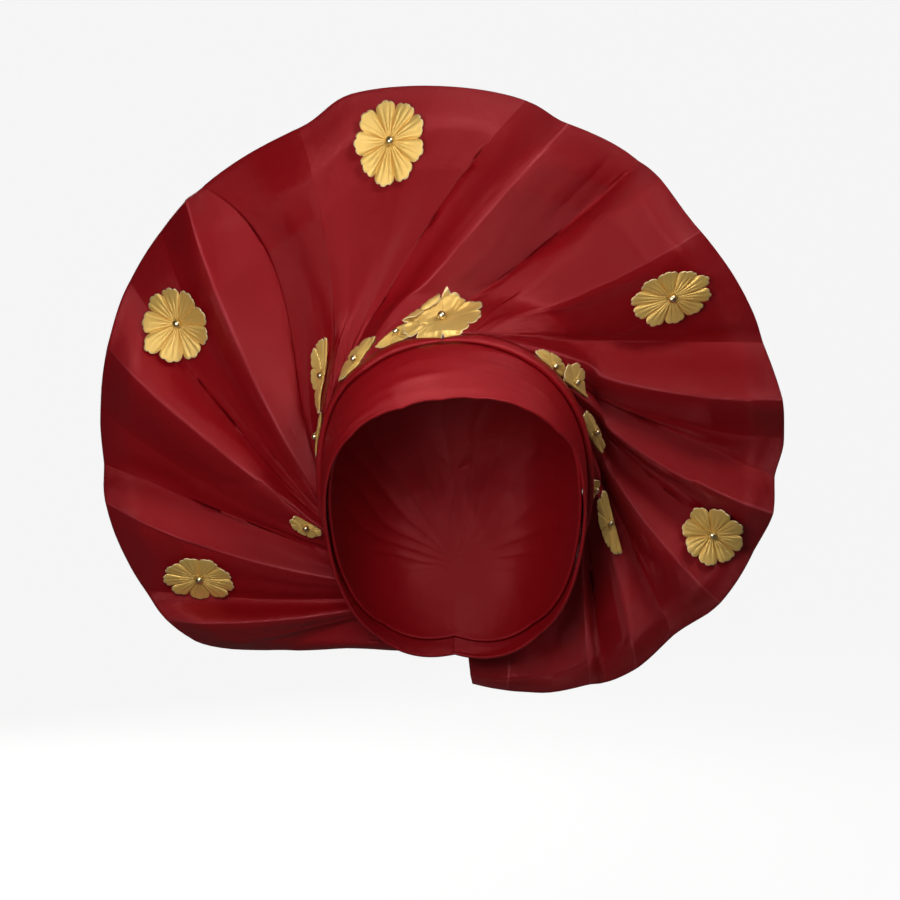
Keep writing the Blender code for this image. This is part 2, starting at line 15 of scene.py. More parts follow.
import bmesh
import bpy
import numpy as np
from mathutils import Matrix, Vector
from mathutils.bvhtree import BVHTree


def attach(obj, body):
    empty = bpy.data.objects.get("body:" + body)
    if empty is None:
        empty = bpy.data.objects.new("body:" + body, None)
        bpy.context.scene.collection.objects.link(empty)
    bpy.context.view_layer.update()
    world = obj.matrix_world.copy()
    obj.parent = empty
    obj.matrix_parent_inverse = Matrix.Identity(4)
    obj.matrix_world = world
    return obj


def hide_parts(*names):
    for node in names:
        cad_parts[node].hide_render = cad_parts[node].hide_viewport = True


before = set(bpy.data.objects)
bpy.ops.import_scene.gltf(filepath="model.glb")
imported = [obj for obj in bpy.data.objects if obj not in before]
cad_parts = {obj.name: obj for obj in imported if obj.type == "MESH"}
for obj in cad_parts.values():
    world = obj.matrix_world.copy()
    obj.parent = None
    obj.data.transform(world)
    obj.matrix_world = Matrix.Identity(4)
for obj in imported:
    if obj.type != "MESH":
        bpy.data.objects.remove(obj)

log = logging.getLogger("head tie")

MM = 0.001
ROOT_BODY = "root"
CROWN_HEIGHT = 80.0
CAMERA_DISTANCE = 1500.0
NAPE_ANGLE = -90.0
WELD_DISTANCE = 1e-6

Array = np.ndarray


class BandStation(NamedTuple):
    """The tips of the band's two edges at one angle round the face."""

    angle: float
    front: float
    rear: float


class Fold(NamedTuple):
    """One crease of the fan, a ridge or the bottom of a valley, from the rim to the root.

    early is the share of the height that shows close to the root. bow is how far the line bends
    sideways, in millimetres, and bow_at is the share of the way out where it bends most.
    """

    name: str
    rim_angle: float
    rim_radius: float
    root_angle: float
    height: float
    early: float = 0.0
    bow: float = 0.0
    bow_at: float = 0.5


class Roll(NamedTuple):
    """One wrapped fold: its ends round the face, degrees behind the edge, and height over the head."""

    name: str
    start: float
    end: float
    behind: float
    height: float


class Flower(NamedTuple):
    """One flower trim: the fold line through its middle, how far out it is, and its size.

    A flower beside the band is folded along a pleat: fold_at is the crease as a share of its
    half width from the middle, side is the side that stays open, and flap is 1 if the rest is
    folded over the face and -1 if it is tucked below.
    """

    name: str
    rim_angle: float
    share: float
    along_fold: float
    across_folds: float
    petals: int
    seed: int
    fold_at: float = -1.0
    side: int = 1
    flap: int = -1


BAND = (
    BandStation(-90.0, -32.0, -42.0),
    BandStation(-62.0, -23.0, -38.0),
    BandStation(-38.0, -5.0, -25.0),
    BandStation(-18.0, 12.0, -8.0),
    BandStation(-4.0, 27.0, 9.0),
    BandStation(6.0, 34.0, 18.0),
    BandStation(14.0, 40.0, 23.0),
    BandStation(24.0, 49.0, 28.0),
    BandStation(34.0, 54.0, 32.5),
    BandStation(44.0, 58.0, 36.0),
    BandStation(60.0, 62.0, 39.5),
    BandStation(75.0, 64.5, 40.5),
    BandStation(100.0, 65.5, 40.5),
    BandStation(127.0, 62.5, 36.5),
    BandStation(141.0, 57.5, 28.5),
    BandStation(158.0, 49.0, 18.0),
    BandStation(169.0, 40.0, 11.0),
    BandStation(179.0, 30.0, 4.0),
    BandStation(190.0, 17.0, -6.0),
    BandStation(206.0, -1.0, -19.0),
    BandStation(225.0, -15.0, -31.0),
    BandStation(245.0, -26.0, -39.0),
    BandStation(270.0, -32.0, -42.0),
)

FOLDS = (
    Fold("left end", 266.0, 100.0, 267.0, 0.0),
    Fold("left hem crest", 254.0, 104.0, 263.0, 10.0),
    Fold("left hem valley", 240.0, 114.0, 260.0, 0.0, 0.0, -1.0),
    Fold("left underside", 226.0, 138.0, 257.5, 0.0, 0.0, 4.0),
    Fold("lower left corner", 212.0, 173.0, 255.5, 13.0, 0.1, -2.0),
    Fold("lower left crest", 206.0, 180.0, 253.0, 20.0, 0.2, -3.0),
    Fold("flower valley", 200.0, 185.0, 250.0, 3.0, 0.2, -3.0),
    Fold("bright left crest", 184.0, 194.0, 245.0, 18.0, 0.0, -5.0, 0.6),
    Fold("bright left valley", 178.0, 195.0, 221.0, 0.0),
    Fold("left hollow", 169.0, 199.0, 215.0, 8.0, 0.2, -5.0),
    Fold("long left crest", 159.0, 202.5, 210.0, 28.0, 0.1, -1.0),
    Fold("thin left crease", 149.0, 207.5, 207.0, 6.0, 0.0, -4.0, 0.4),
    Fold("left shoulder valley", 140.0, 208.5, 204.0, 10.0, 0.0, -9.0),
    Fold("shoulder crest", 134.0, 208.5, 203.0, 25.0, 0.0, -4.0),
    Fold("shoulder valley", 131.0, 209.0, 190.0, 0.0, 0.0, 20.0, 0.7),
    Fold("tall crest", 114.0, 206.0, 180.0, 17.0, 0.2, 13.0),
    Fold("crown valley", 105.0, 213.5, 169.0, 17.0, 0.3, 9.0),
    Fold("crown crest", 92.5, 210.5, 153.0, 16.0, 0.1),
    Fold("narrow valley", 79.5, 206.5, 144.0, 8.0, 0.1, -8.0),
    Fold("long crown crest", 72.5, 199.0, 138.0, 24.0, 0.2, -1.0),
    Fold("dark crown valley", 64.0, 199.0, 120.0, 7.0, 0.1, 6.0),
    Fold("dark crown streak", 60.0, 198.0, 109.0, 0.0, 0.0, 4.0),
    Fold("right shoulder valley", 58.0, 197.0, 98.0, 9.0, 0.1, 1.0),
    Fold("right shoulder crest", 56.0, 195.5, 84.0, 19.0, 0.2, -1.0),
    Fold("right plain", 45.5, 187.5, 82.0, 25.0, 0.1, 3.0),
    Fold("upper right valley", 29.0, 186.0, 77.5, 8.0, 0.1, 1.0),
    Fold("upper right crease", 23.5, 184.5, 76.0, 0.0),
    Fold("right crest", 14.0, 184.0, 72.0, 27.0, 0.0, 7.0),
    Fold("right hollow", 7.0, 183.0, 62.0, 6.0, 0.0, 10.0),
    Fold("right valley", 0.0, 177.5, 53.0, 1.0, 0.0, 1.0),
    Fold("bright right crest", -6.0, 177.0, 42.0, 22.0, 0.2, 7.0),
    Fold("low right valley", -14.0, 172.0, 38.0, 0.0, 0.0, 4.0),
    Fold("low right crest", -25.0, 164.5, 35.0, 13.0, 0.2, 5.0),
    Fold("dark right valley", -36.0, 153.0, 26.0, 0.0),
    Fold("cheek crest", -46.0, 150.0, 17.0, 13.0, 0.3, -3.0),
    Fold("cheek valley", -54.0, 146.0, 3.0, 0.0, 0.0, 1.0),
    Fold("jaw crest", -56.5, 142.0, -8.0, 9.0, 0.3, 1.0),
    Fold("jaw valley", -66.0, 136.0, -30.0, 0.0, 0.0, 1.0),
    Fold("right hem crest", -76.0, 127.0, -62.0, 8.0),
    Fold("right end", -85.0, 120.0, -86.5, 0.0),
)

ROLLS = (
    Roll("wrap_fold_left_front", 208.0, 95.6, 0.0, 4.0),
    Roll("wrap_fold_left_rear", 204.0, 112.0, 3.9, 1.5),
    Roll("wrap_fold_right_front", 95.3, -24.0, 0.0, 4.0),
    Roll("wrap_fold_right_rear", 86.0, -28.0, 3.9, 1.5),
)

FLOWERS = (
    Flower("top", 98.0, 0.84, 49.0, 38.0, 9, 3),
    Flower("left", 144.5, 0.78, 41.0, 41.0, 9, 5),
    Flower("right", 37.0, 0.74, 45.0, 34.0, 10, 8),
    Flower("lower_left", 193.5, 0.74, 40.0, 32.0, 9, 13),
    Flower("lower_right", -16.0, 0.81, 38.0, 36.0, 8, 21),
    Flower("temple_upper", 120.5, 0.32, 42.0, 9.5, 9, 34, -0.3, -1),
    Flower("temple_lower", 113.5, 0.1, 31.0, 8.5, 9, 55, -0.3, -1),
    Flower("brow_left", 74.0, 0.06, 39.0, 12.0, 9, 2, -0.35, -1),
    Flower("brow_inner", 62.0, 0.02, 38.0, 11.0, 9, 4, -0.3),
    Flower("crown", 58.5, 0.07, 64.0, 30.0, 8, 6, -0.7, 1, 1),
    Flower("brow_right_inner", 4.0, 0.05, 32.0, 9.0, 8, 7, -0.3, -1),
    Flower("brow_right", -2.5, 0.08, 30.0, 12.0, 9, 9, -0.35, -1),
    Flower("temple_right", -24.5, 0.14, 46.0, 12.0, 9, 11, -0.35, -1),
    Flower("ear_right", -45.5, 0.36, 40.0, 12.0, 9, 15, -0.35),
    Flower("ear_sliver", -49.5, 0.14, 20.0, 7.0, 8, 17, -0.35, -1),
    Flower("ear_left", 164.0, 0.16, 21.0, 9.0, 9, 19, -0.4, -1),
)


def linear(code: str) -> tuple[float, float, float, float]:
    """Turn an sRGB hex colour into a linear one.

    Args:
        code: Six hex digits after a hash sign.

    Returns:
        Linear red, green, blue and an alpha of 1.
    """
    parts = [int(code[start : start + 2], 16) / 255.0 for start in (1, 3, 5)]
    mixed = [part / 12.92 if part <= 0.04045 else ((part + 0.055) / 1.055) ** 2.4 for part in parts]
    return (mixed[0], mixed[1], mixed[2], 1.0)


def smooth_curve(xs: Sequence[float], ys: Sequence[float], at: Any) -> Array:
    """Follow a smooth curve that never overshoots its points.

    Args:
        xs: Rising positions of the points.
        ys: Values at the points.
        at: Positions where the curve is wanted.

    Returns:
        The curve's values.
    """
    xs = np.asarray(xs, float)
    ys = np.asarray(ys, float)
    at = np.asarray(at, float)
    steps = np.diff(xs)
    slopes = np.diff(ys) / steps
    left, right = slopes[:-1], slopes[1:]
    same_way = left * right > 0.0
    harmonic = 2.0 * left * right / np.where(same_way, left + right, 1.0)
    tangents = np.concatenate(([slopes[0]], np.where(same_way, harmonic, 0.0), [slopes[-1]]))
    span = np.clip(np.searchsorted(xs, at, side="right") - 1, 0, len(xs) - 2)
    width = steps[span]
    part = np.clip((at - xs[span]) / width, 0.0, 1.0)
    rest = 1.0 - part
    start = ys[span] * (1.0 + 2.0 * part) * rest**2 + tangents[span] * width * part * rest**2
    end = ys[span + 1] * (3.0 - 2.0 * part) * part**2
    return start + end - tangents[span + 1] * width * rest * part**2


def straight(xs: Sequence[float], ys: Sequence[float], at: Any) -> Array:
    """Follow straight lines between points, with the arguments of smooth_curve."""
    return np.interp(at, xs, ys)


def unit(vectors: Array) -> Array:
    """Scale each vector to length 1."""
    return vectors / np.maximum(np.linalg.norm(vectors, axis=-1, keepdims=True), 1e-12)


def front_radius(points: Array) -> Array:
    """Distance of points from the middle of the head in the front view."""
    return np.hypot(points[..., 0], points[..., 2])


def fade(value: Any, start: float, end: float) -> Array:
    """Rise smoothly from 0 at the start to 1 at the end, or fall if the end comes first."""
    part = np.clip((np.asarray(value, float) - start) / (end - start), 0.0, 1.0)
    return part * part * (3.0 - 2.0 * part)


def round_turns(count: int) -> Array:
    """Angles of evenly spaced points of a ring, in radians."""
    return 2.0 * math.pi * np.arange(count) / count


def face_angles(count: int) -> Array:
    """Angles of evenly spaced columns round the face, in degrees from the nape."""
    return np.degrees(round_turns(count)) + NAPE_ANGLE


def cloth_noise(across: Array, along: Array, seed: int) -> Array:
    """Smooth noise on a grid of unit cells.

    Args:
        across: First coordinate, in cells.
        along: Second coordinate, in cells.
        seed: Seed of the table of random heights.

    Returns:
        Heights from -1 to 1.
    """
    cells = 128
    table = np.random.default_rng(seed).uniform(-1.0, 1.0, (cells, cells))
    column, row = np.floor(across).astype(int), np.floor(along).astype(int)
    right, up = across - column, along - row
    right, up = right * right * (3.0 - 2.0 * right), up * up * (3.0 - 2.0 * up)
    corners = (
        table[(column + i) % cells, (row + j) % cells] * share_right * share_up
        for i, share_right in enumerate((1.0 - right, right))
        for j, share_up in enumerate((1.0 - up, up))
    )
    return sum(corners)


class Ripple(NamedTuple):
    """Waves of relief that wander over a cloth, with their width, length and height in millimetres."""

    width: float
    length: float
    height: float
    seed: int

    def over(self, across: Array, along: Array) -> Array:
        """Height of the waves at distances across and along the cloth."""
        return self.height * cloth_noise(across / self.width, along / self.length, self.seed)


def grid_normals(points: Array) -> Array:
    """Normals of a grid of points [column][row], turned as columns cross rows."""
    return unit(np.cross(np.gradient(points, axis=0), np.gradient(points, axis=1)))


def lengths_along(points: Array, axis: int) -> Array:
    """Running length of a grid of points along one of its two axes, in millimetres.

    Args:
        points: Points [column][row] in millimetres.
        axis: 0 to measure across the columns and 1 along each column.

    Returns:
        The length from the first point to each point.
    """
    steps = np.linalg.norm(np.diff(points, axis=axis), axis=-1)
    pad = ((1, 0), (0, 0)) if axis == 0 else ((0, 0), (1, 0))
    return np.cumsum(np.pad(steps, pad), axis=axis)


@dataclass(frozen=True)
class HeadForm:
    """The head inside the piece, as a rounded box with sizes in millimetres."""

    half_width: float = 67.0
    half_depth: float = 93.0
    crown: float = CROWN_HEIGHT
    nape: float = 118.0
    squareness: float = 2.35

    def point(self, angle: Any, tip: Any, height: Any) -> Array:
        """Find a point over the head.

        Args:
            angle: Angle round the face, in degrees.
            tip: Tip angle, in degrees.
            height: Height over the head's surface.

        Returns:
            The point relative to the middle of the head.
        """
        angle, tip = np.radians(angle), np.radians(tip)
        across = np.cos(tip) * np.cos(angle)
        back = -np.sin(tip) + 0.0 * angle
        up = np.cos(tip) * np.sin(angle)
        tall = np.where(up >= 0.0, self.crown, self.nape)
        power = self.squareness
        total = (
            np.abs(across / self.half_width) ** power
            + np.abs(back / self.half_depth) ** power
            + np.abs(up / tall) ** power
        )
        reach = total ** (-1.0 / power) + height
        return np.stack([across * reach, back * reach, up * reach], axis=-1)


@dataclass(frozen=True)
class BandLine:
    """The two edges of the forehead band on the head."""

    head: HeadForm

    def front(self, angle: Any) -> Array:
        """Tip of the straight-sided front edge at an angle round the face."""
        return np.interp(angle, [row.angle for row in BAND], [row.front for row in BAND])

    def rear(self, angle: Any) -> Array:
        """Tip of the rear edge at an angle round the face."""
        return smooth_curve([row.angle for row in BAND], [row.rear for row in BAND], angle)


@dataclass(frozen=True)
class FanForm:
    """The fan's surface: a steep collar round the head that turns into an upright disc of folds."""

    head: HeadForm
    band: BandLine
    root_height: float = 3.3
    root_behind_band: float = 7.6
    collar_flare: float = 8.0
    disc_lean: float = 0.06
    fillet: float = 10.0
    fillet_share: float = 0.4
    least_collar: float = 4.0
    depth_middle: float = 36.0
    depth_top: float = -8.0
    depth_nape: float = 92.0
    nape_curve: float = 1.3
    swell_full: float = 0.74
    swell_power: float = 1.1
    early_run: float = 0.1
    forward_share: float = 0.55
    roll_start: float = 0.85
    rim_swell: float = 0.75
    softness: float = 0.6
    rim_roll: float = 6.0
    rim_forward: float = 0.4

    def rim_depth(self, angle: Any) -> Array:
        """How far back the rim lies at an angle round the face.

        Args:
            angle: Angle round the face, in degrees.

        Returns:
            The depth, which grows towards the nape.
        """
        rise = np.sin(np.radians(angle))
        above = self.depth_middle + (self.depth_top - self.depth_middle) * np.maximum(rise, 0.0)
        return above + (self.depth_nape - self.depth_middle) * np.maximum(-rise, 0.0) ** self.nape_curve

    def rim_radii(self, rows: Sequence[Fold]) -> list[float]:
        """Radii of the rim, drawn in by as much as a rim nearer to the camera would look larger."""
        nearer = [self.rim_roll + self.rim_forward * row.height for row in rows]
        return [row.rim_radius * (1.0 - step / CAMERA_DISTANCE) for row, step in zip(rows, nearer)]

    def rim_radius(self, angle: Any) -> Array:
        """Distance of the rim from the middle of the head at an angle round the face."""
        rows = sorted(FOLDS, key=lambda row: row.rim_angle)
        return smooth_curve([row.rim_angle for row in rows], self.rim_radii(rows), angle)

    def root(self, angle: Any) -> Array:
        """Point of the root on the head at an angle round the face."""
        return self.head.point(angle, self.band.rear(angle) - self.root_behind_band, self.root_height)

    def base_point(self, angle: Array, reach: Array) -> Array:
        """Point on the lowest surface, some way outwards of the root.

        Args:
            angle: Angle round the face, in degrees.
            reach: Distance outwards of the root in the front view.

        Returns:
            The point, on the collar near the root and on the disc further out.
        """
        root = self.root(angle)
        one_degree_back = self.band.rear(angle) - self.root_behind_band - 1.0
        further = self.head.point(angle, one_degree_back, self.root_height)
        root_radius = front_radius(root)
        widening = front_radius(further) - root_radius
        along_head = np.degrees(np.arctan2(widening, further[..., 1] - root[..., 1]))
        flare = np.radians(np.maximum(along_head, 0.0) + self.collar_flare)
        disc_start = self.rim_depth(angle) - self.disc_lean * (self.rim_radius(angle) - root_radius)
        room = np.maximum(disc_start - root[..., 1], self.least_collar)
        blend = np.minimum(self.fillet, self.fillet_share * room)
        collar = reach / np.tan(flare)
        disc = room + self.disc_lean * reach
        depth = 0.5 * (collar + disc - np.sqrt((collar - disc) ** 2 + blend**2))
        depth = depth - 0.5 * (room - np.sqrt(room**2 + blend**2))
        radius = root_radius + reach
        turn = np.radians(angle)
        return np.stack([radius * np.cos(turn), root[..., 1] + depth, radius * np.sin(turn)], axis=-1)

    def base_normal(self, angle: Array, reach: Array) -> Array:
        """Direction out of the lowest surface, towards the front.

        Args:
            angle: Angle round the face, in degrees.
            reach: Distance outwards of the root in the front view.

        Returns:
            The direction, of length 1.
        """
        step = 0.5
        outward = self.base_point(angle, reach + step) - self.base_point(angle, reach)
        around = self.base_point(angle + step, reach) - self.base_point(angle - step, reach)
        return unit(np.cross(outward, around))

    def swell(self, share: Array, early: Array) -> Array:
        """How much of a fold's height shows on the way from the root to the rim.

        Args:
            share: Share of the way out.
            early: Share of the height that shows close to the root.

        Returns:
            The share of the height.
        """
        rise = np.minimum(share / self.swell_full, 1.0) ** self.swell_power
        rise = rise + early * (1.0 - rise) * (1.0 - np.exp(-share / self.early_run))
        return rise * (1.0 - (1.0 - self.rim_swell) * fade(share, self.roll_start, 1.0))

    def fold_value(self, column: str, place: Array, bend: Callable = smooth_curve) -> Array:
        """Value of one column of the table of folds at a place in its row of folds."""
        return bend(np.arange(len(FOLDS)), [getattr(row, column) for row in FOLDS], place)

    def base(self, place: Array, share: Array) -> tuple[Array, Array]:
        """Find the lowest surface below the folds.

        Args:
            place: Place in the row of folds.
            share: Share of the way from the root to the rim.

        Returns:
            The point and the normal there.
        """
        rim_angle = np.radians(self.fold_value("rim_angle", place))
        radius = smooth_curve(np.arange(len(FOLDS)), self.rim_radii(FOLDS), place)
        root = self.root(self.fold_value("root_angle", place))
        run_across = radius * np.cos(rim_angle) - root[..., 0]
        run_up = radius * np.sin(rim_angle) - root[..., 2]
        peak = self.fold_value("bow_at", place)
        power = peak / (1.0 - peak)
        sideways = share**power * (1.0 - share) / (peak**power * (1.0 - peak))
        bend = self.fold_value("bow", place) * sideways / np.hypot(run_across, run_up)
        across = root[..., 0] + run_across * share + run_up * bend
        up = root[..., 2] + run_up * share - run_across * bend
        angle = np.degrees(np.arctan2(up, across))
        angle = np.where(angle < NAPE_ANGLE, angle + 360.0, angle)
        reach = np.maximum(np.hypot(across, up) - front_radius(self.root(angle)), 0.0)
        point = self.base_point(angle, reach)
        fall = np.clip((share - self.roll_start) / (1.0 - self.roll_start), 0.0, 1.0)
        point[..., 1] += fall**2 * self.rim_roll
        return point, self.base_normal(angle, reach)

    def point(self, place: Array, share: Array) -> Array:
        """Find a point of the folded surface.

        Args:
            place: Place in the row of folds.
            share: Share of the way from the root to the rim.

        Returns:
            The point.
        """
        point, normal = self.base(place, share)
        sharp = self.fold_value("height", place, straight)
        height = sharp + self.softness * (self.fold_value("height", place) - sharp)
        lift = self.swell(share, self.fold_value("early", place, straight)) * height
        way = unit(normal * (1.0 - self.forward_share) + np.array([0.0, -self.forward_share, 0.0]))
        return point + way * lift[..., None]

    def place_of(self, rim_angle: float) -> float:
        """Place in the row of folds of the line that meets the rim at an angle."""
        return float(np.interp(-rim_angle, [-row.rim_angle for row in FOLDS], np.arange(len(FOLDS))))

    def walk(self, place: float, share: float, along: Array, across: Array) -> tuple[Array, Array]:
        """Walk over the surface from one spot of it.

        Args:
            place: Place in the row of folds where the walk starts.
            share: Share of the way out where it starts.
            along: Distances to walk along the folds, in millimetres.
            across: Distances to walk across the folds, in millimetres.

        Returns:
            The places and the shares that are reached.
        """
        steps, share_probe, place_probe = 12, 0.01, 0.05
        places = np.full(np.shape(along), float(place))
        shares = np.full(np.shape(along), float(share))
        for _ in range(steps):
            here = self.point(places, shares)
            further = (self.point(places, shares + share_probe) - here) / share_probe
            beside = (self.point(places + place_probe, shares) - here) / place_probe
            ahead = unit(further)
            lean = (beside * ahead).sum(-1)
            width = np.linalg.norm(beside - lean[..., None] * ahead, axis=-1)
            step_place = across / steps / width
            step_share = (along / steps - step_place * lean) / np.linalg.norm(further, axis=-1)
            places = np.clip(places + step_place, 0.0, len(FOLDS) - 1.0 - place_probe)
            shares = np.clip(shares + step_share, 0.0, 1.0 - share_probe)
        return places, shares


class Weave(Enum):
    """How the threads of a cloth lie."""

    PLAIN = "plain"
    SATIN = "satin"


def add_node(
    tree: bpy.types.NodeTree,
    kind: str,
    settings: dict[str, Any] | None = None,
    values: dict[Any, Any] | None = None,
    links: dict[Any, bpy.types.NodeSocket] | None = None,
) -> bpy.types.Node:
    """Add a node to a tree.

    Args:
        tree: Tree that gets the node.
        kind: Blender's name of the node's type.
        settings: Properties of the node.
        values: Default values of its input sockets, by name or number.
        links: Sockets that feed its inputs, by name or number.

    Returns:
        The new node.
    """
    node = tree.nodes.new(kind)
    for name, setting in (settings or {}).items():
        setattr(node, name, setting)
    for name, value in (values or {}).items():
        node.inputs[name].default_value = value
    for name, socket in (links or {}).items():
        tree.links.new(socket, node.inputs[name])
    return node


@dataclass(frozen=True)
class Signal:
    """A number in a node tree, so that what is worked out from it reads like plain sums."""

    tree: bpy.types.NodeTree
    socket: bpy.types.NodeSocket

    def math(self, operation: str, *inputs: Any) -> "Signal":
        """Feed signals or numbers to a Math node.

        Args:
            operation: Blender's name of the operation.
            inputs: Signals or numbers, in the node's order.

        Returns:
            The node's result.
        """
        links = {i: given.socket for i, given in enumerate(inputs) if isinstance(given, Signal)}
        values = {i: given for i, given in enumerate(inputs) if not isinstance(given, Signal)}
        node = add_node(self.tree, "ShaderNodeMath", {"operation": operation}, values, links)
        return Signal(self.tree, node.outputs[0])

    def sine(self) -> "Signal":
        """Sine of this angle in radians."""
        return self.math("SINE", self)

    def __add__(self, other: Any) -> "Signal":
        """This number and another."""
        return self.math("ADD", self, other)

    def __sub__(self, other: Any) -> "Signal":
        """This number less another."""
        return self.math("SUBTRACT", self, other)

    def __rsub__(self, other: Any) -> "Signal":
        """Another number less this one."""
        return self.math("SUBTRACT", other, self)

    def __mul__(self, other: Any) -> "Signal":
        """This number times another."""
        return self.math("MULTIPLY", self, other)

    def __truediv__(self, other: Any) -> "Signal":
        """This number divided by another."""
        return self.math("DIVIDE", self, other)

    def __rtruediv__(self, other: Any) -> "Signal":
        """Another number divided by this one."""
        return self.math("DIVIDE", other, self)

    def __pow__(self, other: Any) -> "Signal":
        """This number to a power."""
        return self.math("POWER", self, other)


def new_material(
    name: str, values: dict[str, Any]
) -> tuple[bpy.types.Material, bpy.types.NodeTree, bpy.types.Node]:
    """Start a material.

    Args:
        name: Name of the material.
        values: Values of its Principled shader's own inputs.

    Returns:
        The material, its node tree and its Principled shader.
    """
    material = bpy.data.materials.new(name)
    material.use_nodes = True
    shader = material.node_tree.nodes["Principled BSDF"]
    for socket, value in values.items():
        shader.inputs[socket].default_value = value
    return material, material.node_tree, shader


@dataclass(frozen=True)
class Cloth:
    """A woven cloth, with colours in sRGB hex and lengths in millimetres."""

    name: str
    colour: str
    worn_colour: str
    roughness: float
    sheen: float
    thread: float
    weave: Weave
    thread_relief: float
    crumple: float
    crumple_relief: float
    metallic: float = 0.0
    sheen_tint: str = "#FFFFFF"
    sheen_roughness: float = 0.35
    # Colour blended in by the edge attribute: a paler hot-cut edge on the flowers, a painted highlight
    # along the fan's crests.
    cut_edge_and_highlight_colour: str = ""
    gloss: float = 0.5
    roughness_change: float = 0.06
    patch_size: float = 45.0
    patch_detail: float = 3.0
    crumple_detail: float = 2.0
    noise_roughness: float = 0.55
    satin_float: float = 4.0

    def build(self) -> bpy.types.Material:
        """Build the material.

        Returns:
            A material that reads the piece's own UV map, which is in metres along the cloth.
        """
        values = {
            "Metallic": self.metallic,
            "Specular IOR Level": self.gloss,
            "Sheen Weight": self.sheen,
            "Sheen Roughness": self.sheen_roughness,
            "Sheen Tint": linear(self.sheen_tint),
        }
        material, tree, shader = new_material(self.name, values)
        place = add_node(tree, "ShaderNodeTexCoord").outputs
        patches = self._noise(tree, place["Object"], self.patch_size, self.patch_detail)
        colours = {"A": linear(self.colour), "B": linear(self.worn_colour)}
        colour = self._mix(tree, patches.socket, colours, {})
        # On the fan the edge attribute paints a highlight along the crests; on the flowers it marks the
        # paler hot-cut edge.
        if self.cut_edge_and_highlight_colour:
            edge = add_node(tree, "ShaderNodeAttribute", {"attribute_name": "edge"}).outputs["Fac"]
            colour = self._mix(tree, edge, {"B": linear(self.cut_edge_and_highlight_colour)}, {"A": colour})
        rough = patches * self.roughness_change + self.roughness
        crumple = self._noise(tree, place["Object"], self.crumple, self.crumple_detail)
        soft = self._bump(tree, self.crumple_relief, {"Height": crumple.socket})
        threads = self._threads(tree, place["UV"]).socket
        woven = self._bump(tree, self.thread_relief, {"Height": threads, "Normal": soft})
        tree.links.new(colour, shader.inputs["Base Color"])
        tree.links.new(rough.socket, shader.inputs["Roughness"])
        tree.links.new(woven, shader.inputs["Normal"])
        return material

    def _noise(
        self, tree: bpy.types.NodeTree, place: bpy.types.NodeSocket, size: float, detail: float
    ) -> Signal:
        """Noise with features of a size in millimetres.

        Args:
            tree: The material's node tree.
            place: Coordinates of the noise.
            size: Size of its features.
            detail: Number of finer layers.

        Returns:
            The noise, from 0 to 1.
        """
        values = {"Scale": 1.0 / (size * MM), "Detail": detail, "Roughness": self.noise_roughness}
        node = add_node(tree, "ShaderNodeTexNoise", {}, values, {"Vector": place})
        return Signal(tree, node.outputs["Fac"])

    def _mix(
        self, tree: bpy.types.NodeTree, factor: bpy.types.NodeSocket, plain: dict, linked: dict
    ) -> bpy.types.NodeSocket:
        """Blend the colours A and B, each given plain or as a socket, by a factor.

        Args:
            tree: The material's node tree.
            factor: 0 for A and 1 for B.
            plain: Colours that are given as numbers.
            linked: Colours that are given as sockets.

        Returns:
            The blend.
        """
        settings = {"data_type": "RGBA"}
        return add_node(tree, "ShaderNodeMix", settings, plain, {"Factor": factor, **linked}).outputs[2]

    def _bump(self, tree: bpy.types.NodeTree, relief: float, links: dict) -> bpy.types.NodeSocket:
        """Bend the normal by a relief in millimetres."""
        values = {"Strength": 1.0, "Distance": relief * MM}
        return add_node(tree, "ShaderNodeBump", {}, values, links).outputs[0]

    def _threads(self, tree: bpy.types.NodeTree, uv: bpy.types.NodeSocket) -> Signal:
        """Relief of the threads, from the cloth's own UV map in metres.

        Args:
            tree: The material's node tree.
            uv: The cloth's own UV map in metres.

        Returns:
            The relief, from -1 to 1.
        """
        split = add_node(tree, "ShaderNodeSeparateXYZ", links={"Vector": uv}).outputs
        turns = 2.0 * math.pi / (self.thread * MM)
        float_length = 1.0 if self.weave is Weave.PLAIN else self.satin_float
        warp = (Signal(tree, split["X"]) * turns).sine()
        weft = (Signal(tree, split["Y"]) * (turns / float_length)).sine()
        return warp * weft


@dataclass(frozen=True)
class BeadMetal:
    """Polished plated brass: a mirror with faint handling marks."""

    name: str = "plated_brass_bead"
    colour: str = "#F0E0B4"
    roughness: float = 0.24
    mark_scale: float = 900.0
    mark_detail: float = 2.0
    mark_roughness: float = 0.16

    def build(self) -> bpy.types.Material:
        """Build the material.

        Returns:
            A material that reads the piece's Object coordinates.
        """
        plain = {"Base Color": linear(self.colour), "Metallic": 1.0}
        material, tree, shader = new_material(self.name, plain)
        place = add_node(tree, "ShaderNodeTexCoord").outputs["Object"]
        values = {"Scale": self.mark_scale, "Detail": self.mark_detail}
        marks = add_node(tree, "ShaderNodeTexNoise", {}, values, {"Vector": place}).outputs["Fac"]
        rough = Signal(tree, marks) * self.mark_roughness + self.roughness
        tree.links.new(rough.socket, shader.inputs["Roughness"])
        return material


# Crisp polyester taffeta: a plain weave of fine filament, so that flat stretches shine evenly. Thin
# paler lines along the crests are a painted highlight. Its threads of about 0.12 mm are drawn at
# 0.5 mm so that they show.
TAFFETA = Cloth(
    name="wine_polyester_taffeta",
    colour="#A00715",
    worn_colour="#940510",
    roughness=0.38,
    sheen=0.0,
    thread=0.5,
    weave=Weave.PLAIN,
    thread_relief=0.05,
    crumple=9.0,
    crumple_relief=0.35,
    metallic=0.25,
    # Paler colour of the highlight painted along the fan's crests.
    cut_edge_and_highlight_colour="#C04650",
)

